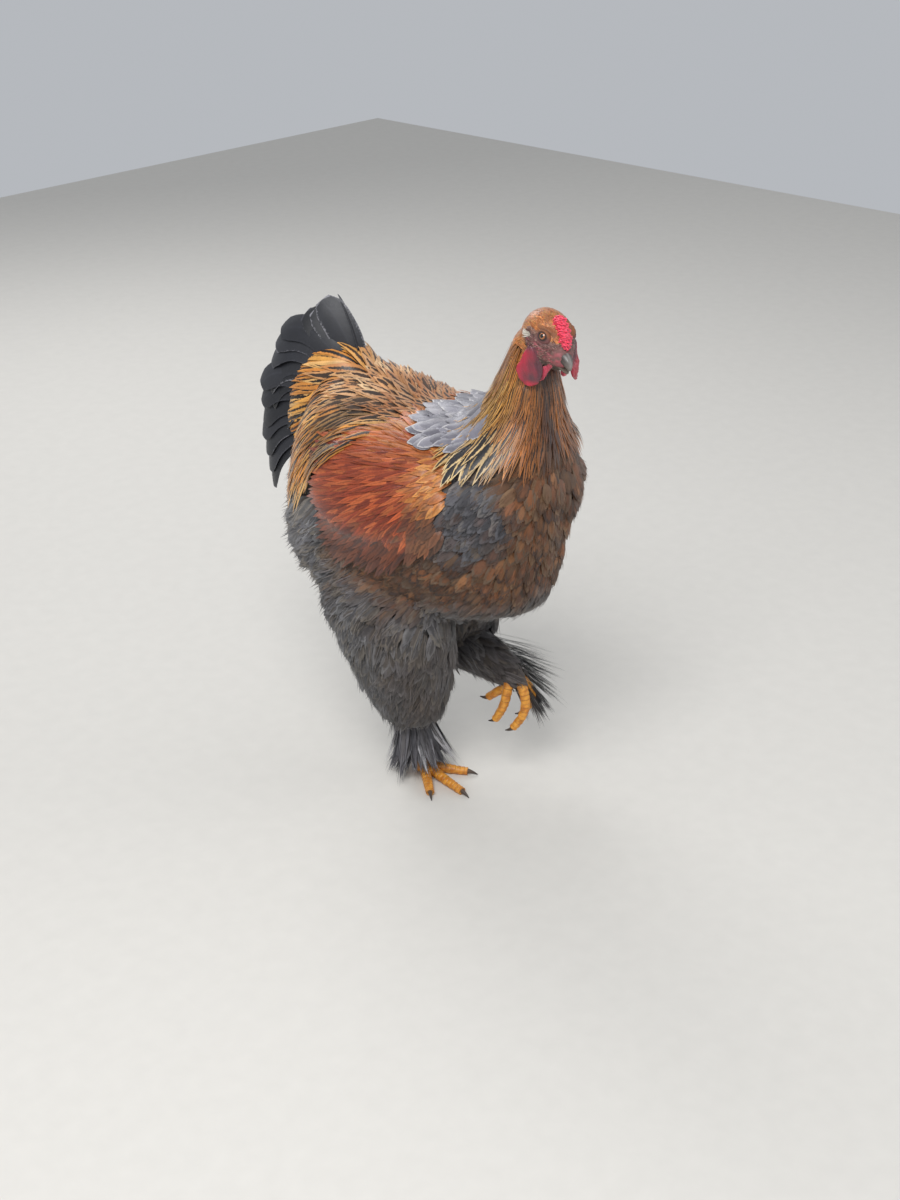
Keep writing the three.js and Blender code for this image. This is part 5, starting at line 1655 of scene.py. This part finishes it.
class BRAHMA_OT_beak(BuildOperator, bpy.types.Operator):
    """Shape both halves of the beak"""

    bl_idname = "brahma.beak"
    bl_label = "Beak"

    def execute(self, context):
        for name, rows, side, clip in (("upper", BEAK, 1, np.maximum), ("lower", JAW, -1, np.minimum)):
            u, v = grid(80, 96)
            p = limb(rows, u, v)
            if side > 0:
                p[..., 2] += 0.5 * np.maximum(np.sin(TURN * v), 0) ** 6
            plane = GAPE["height"] + GAPE["slope"] * (p[..., 1] - GAPE["from"]) + side * 0.15
            p[..., 2] = clip(p[..., 2], plane)
            if side > 0:
                for nostril in (-1, 1):
                    d = (p - np.array([nostril * 8.2, -31, -2])) / np.array([3, 3.2, 1.3])
                    p[..., 0] -= nostril * 1.6 * np.exp(-(d**2).sum(-1))
            shape = tube(on_head(p))
            x, y, z = into_head(shape[0]).T
            edge = hill((z, GAPE["height"] + GAPE["slope"] * (y - GAPE["from"]), 1.6))
            # A paler streak along the top ridge towards the tip: painted highlight on the culmen.
            ridge = hill((x, 0, 1.5)) * smooth(-9, -5, z) * smooth(-24, -34, y)
            tone = blend("#38312e", "#6c645e", smooth(-34, -50, y))
            tone = blend(blend(tone, "#8c8886", 0.55 * ridge), "#6e6256", 0.6 * edge)
            solid("beak_horn_" + name, shape, "beak", tone, "beak_horn", "beak_" + name)
        return {"FINISHED"}


class BRAHMA_OT_eyes(BuildOperator, bpy.types.Operator):
    """Set both eyes"""

    bl_idname = "brahma.eyes"
    bl_label = "Eyes"

    def execute(self, context):
        for name, side in SIDES:
            theta, phi, ball = globe(90, 96, (0.001, math.pi - 0.001))
            ahead = np.cos(theta) > 0
            bulge = 0.35 * hill((np.sin(theta), 0, 0.6)) * ahead
            p = eye_at(side) + (ball * (EYE_RADIUS + bulge)[..., None]) @ np.stack(eye_axes(side))
            far = (EYE_RADIUS * np.sin(theta))[..., None]
            spokes = 0.12 * np.sin(23 * phi + 2 * np.sin(7 * phi))
            tone = mix(rgb("#a5622f"), rgb("#5e3218"), smooth(2.3, 3.8, far)) * (1 + spokes)[..., None]
            tone = mix(rgb("#040303"), tone, smooth(2.0, 2.25, far))
            tone = mix(tone, rgb("#1c1412"), smooth(3.7, 4.1, far))
            tone = np.where(ahead[..., None], tone, rgb("#1c1412"))
            tone = np.concatenate([tone.reshape(-1, 3), tone[0, :1], tone[-1, :1]])
            solid("eye_ball_" + name, tube(on_head(p)), "eye", tone, "eye", "eye_" + name)
        return {"FINISHED"}


def toe_part(rows, plates, up):
    """A toe with overlapping plates on its upper side and small pads below, and its grooves."""
    u, v = grid(140, 48)
    phase = np.mod(u * plates, 1)
    upper = smooth(-0.5, 0.1, np.sin(TURN * v))
    ridge = (0.9 * phase**0.7 - 0.3 * smooth(0.9, 1.0, phase)) * upper
    pads = 0.5 * np.abs(np.sin(math.pi * u * plates * 0.5)) * (1 - upper)
    groove = smooth(0.16, 0.0, phase) * upper
    return tube(limb(rows, u, v, ridge + pads - 0.3, up)), np.append(groove.ravel(), [0, 0])


def claw_part(start, along, down):
    """A claw that leaves its toe along one way and bends down."""
    rows = [[*(start + along * CLAW_LENGTH * s + down * CLAW_LENGTH * 0.42 * s * s),
             mix(3.3, 0.5, s), mix(4, 0.6, s)] for s in np.array([0, 0.3, 0.65, 1])]
    return round_skin(lambda u, v, off: limb(rows, u, v, off, tuple(-down)), CLAW_RINGS, CLAW_ROUND)


class BRAHMA_OT_feet(BuildOperator, bpy.types.Operator):
    """Shape the scaled toes and their claws"""

    bl_idname = "brahma.feet"
    bl_label = "Toes and Claws"

    def execute(self, context):
        standing, raised, claws = [], [], {}
        for name, (bearing, length, plates) in TOES.items():
            d = toe_way(bearing)
            rows = []
            for t in (0.05, 0.3, 0.55, 0.8, 1):
                radius = TOE_RADIUS * mix(1.12, 0.78, t)
                p = SOLE + d * length * t
                rows.append([p[0], p[1], radius - 0.9 + 4 * (1 - t) ** 2, radius, radius])
            standing.append(toe_part(rows, plates, (0, 0, 1)))
            tip = SOLE + np.array([0, 0, 4.6]) + d * (length - 2)
            claws["claw_right_" + name] = claw_part(tip, d, np.array([0, 0, -0.6]))
            joints = np.array(RAISED_TOES[name], float)
            rows = [[*p, *(2 * [TOE_RADIUS * mix(1.05, 0.76, i / (len(joints) - 1))])]
                    for i, p in enumerate(joints)]
            raised.append(toe_part(rows, plates, (0, -1, 0.01)))
            along = unit(joints[-1] - joints[-2])
            down = np.array([0, 1, -0.2])
            down = unit(down - along * (down @ along))
            claws["claw_left_" + name] = claw_part(joints[-1] - along * 2, along, down)
        for node, toes, at, size in (("foot_right", standing, SOLE + [0, 2, 9], (13, 13, 10)),
                                     ("foot_left", raised, np.array([50, -97, 146]), (12, 12, 10))):
            pad = tube(at + globe(40, 48, (0.01, 3.13))[2] * np.array(size))
            points, quads, tris = joined([part for part, _ in toes] + [pad])
            points[:, 2] = np.maximum(points[:, 2], 0.0)
            groove = np.concatenate([g for _, g in toes] + [np.full(len(pad[0]), 0.3)])
            worn = np.clip(0.35 + 0.5 * wave_noise(points, 9, 85), 0, 0.8)
            tone = blend(np.array(settings().toe_yellow), "#a4601e", worn)
            tone = blend(tone, "#6a4216", 0.75 * smooth(0.2, 0.9, groove))
            solid(node + "_skin", (points, quads, tris), "toes", tone, "toe_skin", node)
        share = np.append(np.linspace(0, 1, CLAW_RINGS + 1).repeat(CLAW_ROUND), [0, 1])
        for node, (points, quads, tris) in claws.items():
            points[:, 2] = np.maximum(points[:, 2], 0.0)
            solid(node + "_horn", (points, quads, tris), "claw", blend("#57463a", "#2a221e", share),
                  "claw_horn", node)
        return {"FINISHED"}


def aimed(name, data, place):
    """A lamp or camera at a place in metres, turned to the bird."""
    obj = bpy.data.objects.new(name, data)
    obj.location = place
    obj.rotation_euler = (Vector(CAMERA_AIM) - Vector(place)).to_track_quat("-Z", "Y").to_euler()
    bpy.context.scene.collection.objects.link(obj)
    return obj


class BRAHMA_OT_stage(BuildOperator, bpy.types.Operator):
    """Set the floor, the lights and the camera"""

    bl_idname = "brahma.stage"
    bl_label = "Stage"

    def execute(self, context):
        scene = bpy.context.scene
        size = 3000.0
        corners = np.array([[-size, -size, 0], [size, -size, 0], [size, size, 0], [-size, size, 0]])
        # Matt wall paint: pale, with a grain that is barely seen.
        floor_material, tree, shader = surface("Studio floor, matt paint")
        place = add(tree, "TexCoord").outputs["Object"]
        grain = add(tree, "TexNoise", {"Vector": place, "Scale": 40.0, "Detail": 4.0}).outputs["Fac"]
        colour = tint(tree, linear("#cfccc6")[:3], grain, 0.96, 1.04)
        tree.links.new(colour, shader.inputs["Base Color"])
        shader.inputs["Roughness"].default_value = 0.8
        floor = new_object("floor", corners, [np.array([[0, 1, 2, 3]])], floor_material, False)
        # The floor lies half a millimetre low, so that it doesn't cut into the soles.
        floor.location.z = -0.0005
        world = bpy.data.worlds.new("Studio")
        world.use_nodes = True
        back = world.node_tree.nodes.get("Background") or world.node_tree.nodes.new("ShaderNodeBackground")
        back.inputs["Color"].default_value = linear("#e4e8ee")
        back.inputs["Strength"].default_value = 0.6
        scene.world = world
        for name, place, size, watts in LAMPS:
            lamp = bpy.data.lights.new(name, "AREA")
            lamp.size = size
            lamp.energy = watts
            aimed(name, lamp, place)
        lens = bpy.data.cameras.new("Camera")
        lens.sensor_width = 36.0
        lens.lens = 54.0
        scene.camera = aimed("Camera", lens, CAMERA_AT)
        scene.view_settings.view_transform = "Standard"
        return {"FINISHED"}


PIECES = (BRAHMA_OT_skin, BRAHMA_OT_neck, BRAHMA_OT_wings, BRAHMA_OT_saddle, BRAHMA_OT_tail,
          BRAHMA_OT_contour, BRAHMA_OT_fluff, BRAHMA_OT_foot_feathers, BRAHMA_OT_head_feathers,
          BRAHMA_OT_comb, BRAHMA_OT_beak, BRAHMA_OT_eyes, BRAHMA_OT_feet, BRAHMA_OT_stage)


class BRAHMA_PT_panel(bpy.types.Panel):
    """The cockerel's sizes, colours and pieces in the 3D view's sidebar"""

    bl_idname = "BRAHMA_PT_panel"
    bl_label = "Brahma Cockerel"
    bl_space_type = "VIEW_3D"
    bl_region_type = "UI"
    bl_category = "Cockerel"

    def draw(self, context):
        chosen = context.scene.brahma
        for name in ("feather_width", "coat_spacing", "hackle_gold", "comb_red", "toe_yellow"):
            self.layout.prop(chosen, name)
        for piece in PIECES:
            self.layout.operator(piece.bl_idname)


CLASSES = (BRAHMA_PG_settings,) + PIECES + (BRAHMA_PT_panel,)


def register():
    for one in CLASSES:
        bpy.utils.register_class(one)
    bpy.types.Scene.brahma = bpy.props.PointerProperty(type=BRAHMA_PG_settings)


def unregister():
    del bpy.types.Scene.brahma
    for one in reversed(CLASSES):
        bpy.utils.unregister_class(one)


def main():
    register()
    for piece in PIECES:
        group, name = piece.bl_idname.split(".")
        result = getattr(getattr(bpy.ops, group), name)()
        if result != {"FINISHED"}:
            raise RuntimeError(piece.bl_label + " wasn't built")
    bpy.context.view_layer.update()


if __name__ == "__main__":
    main()
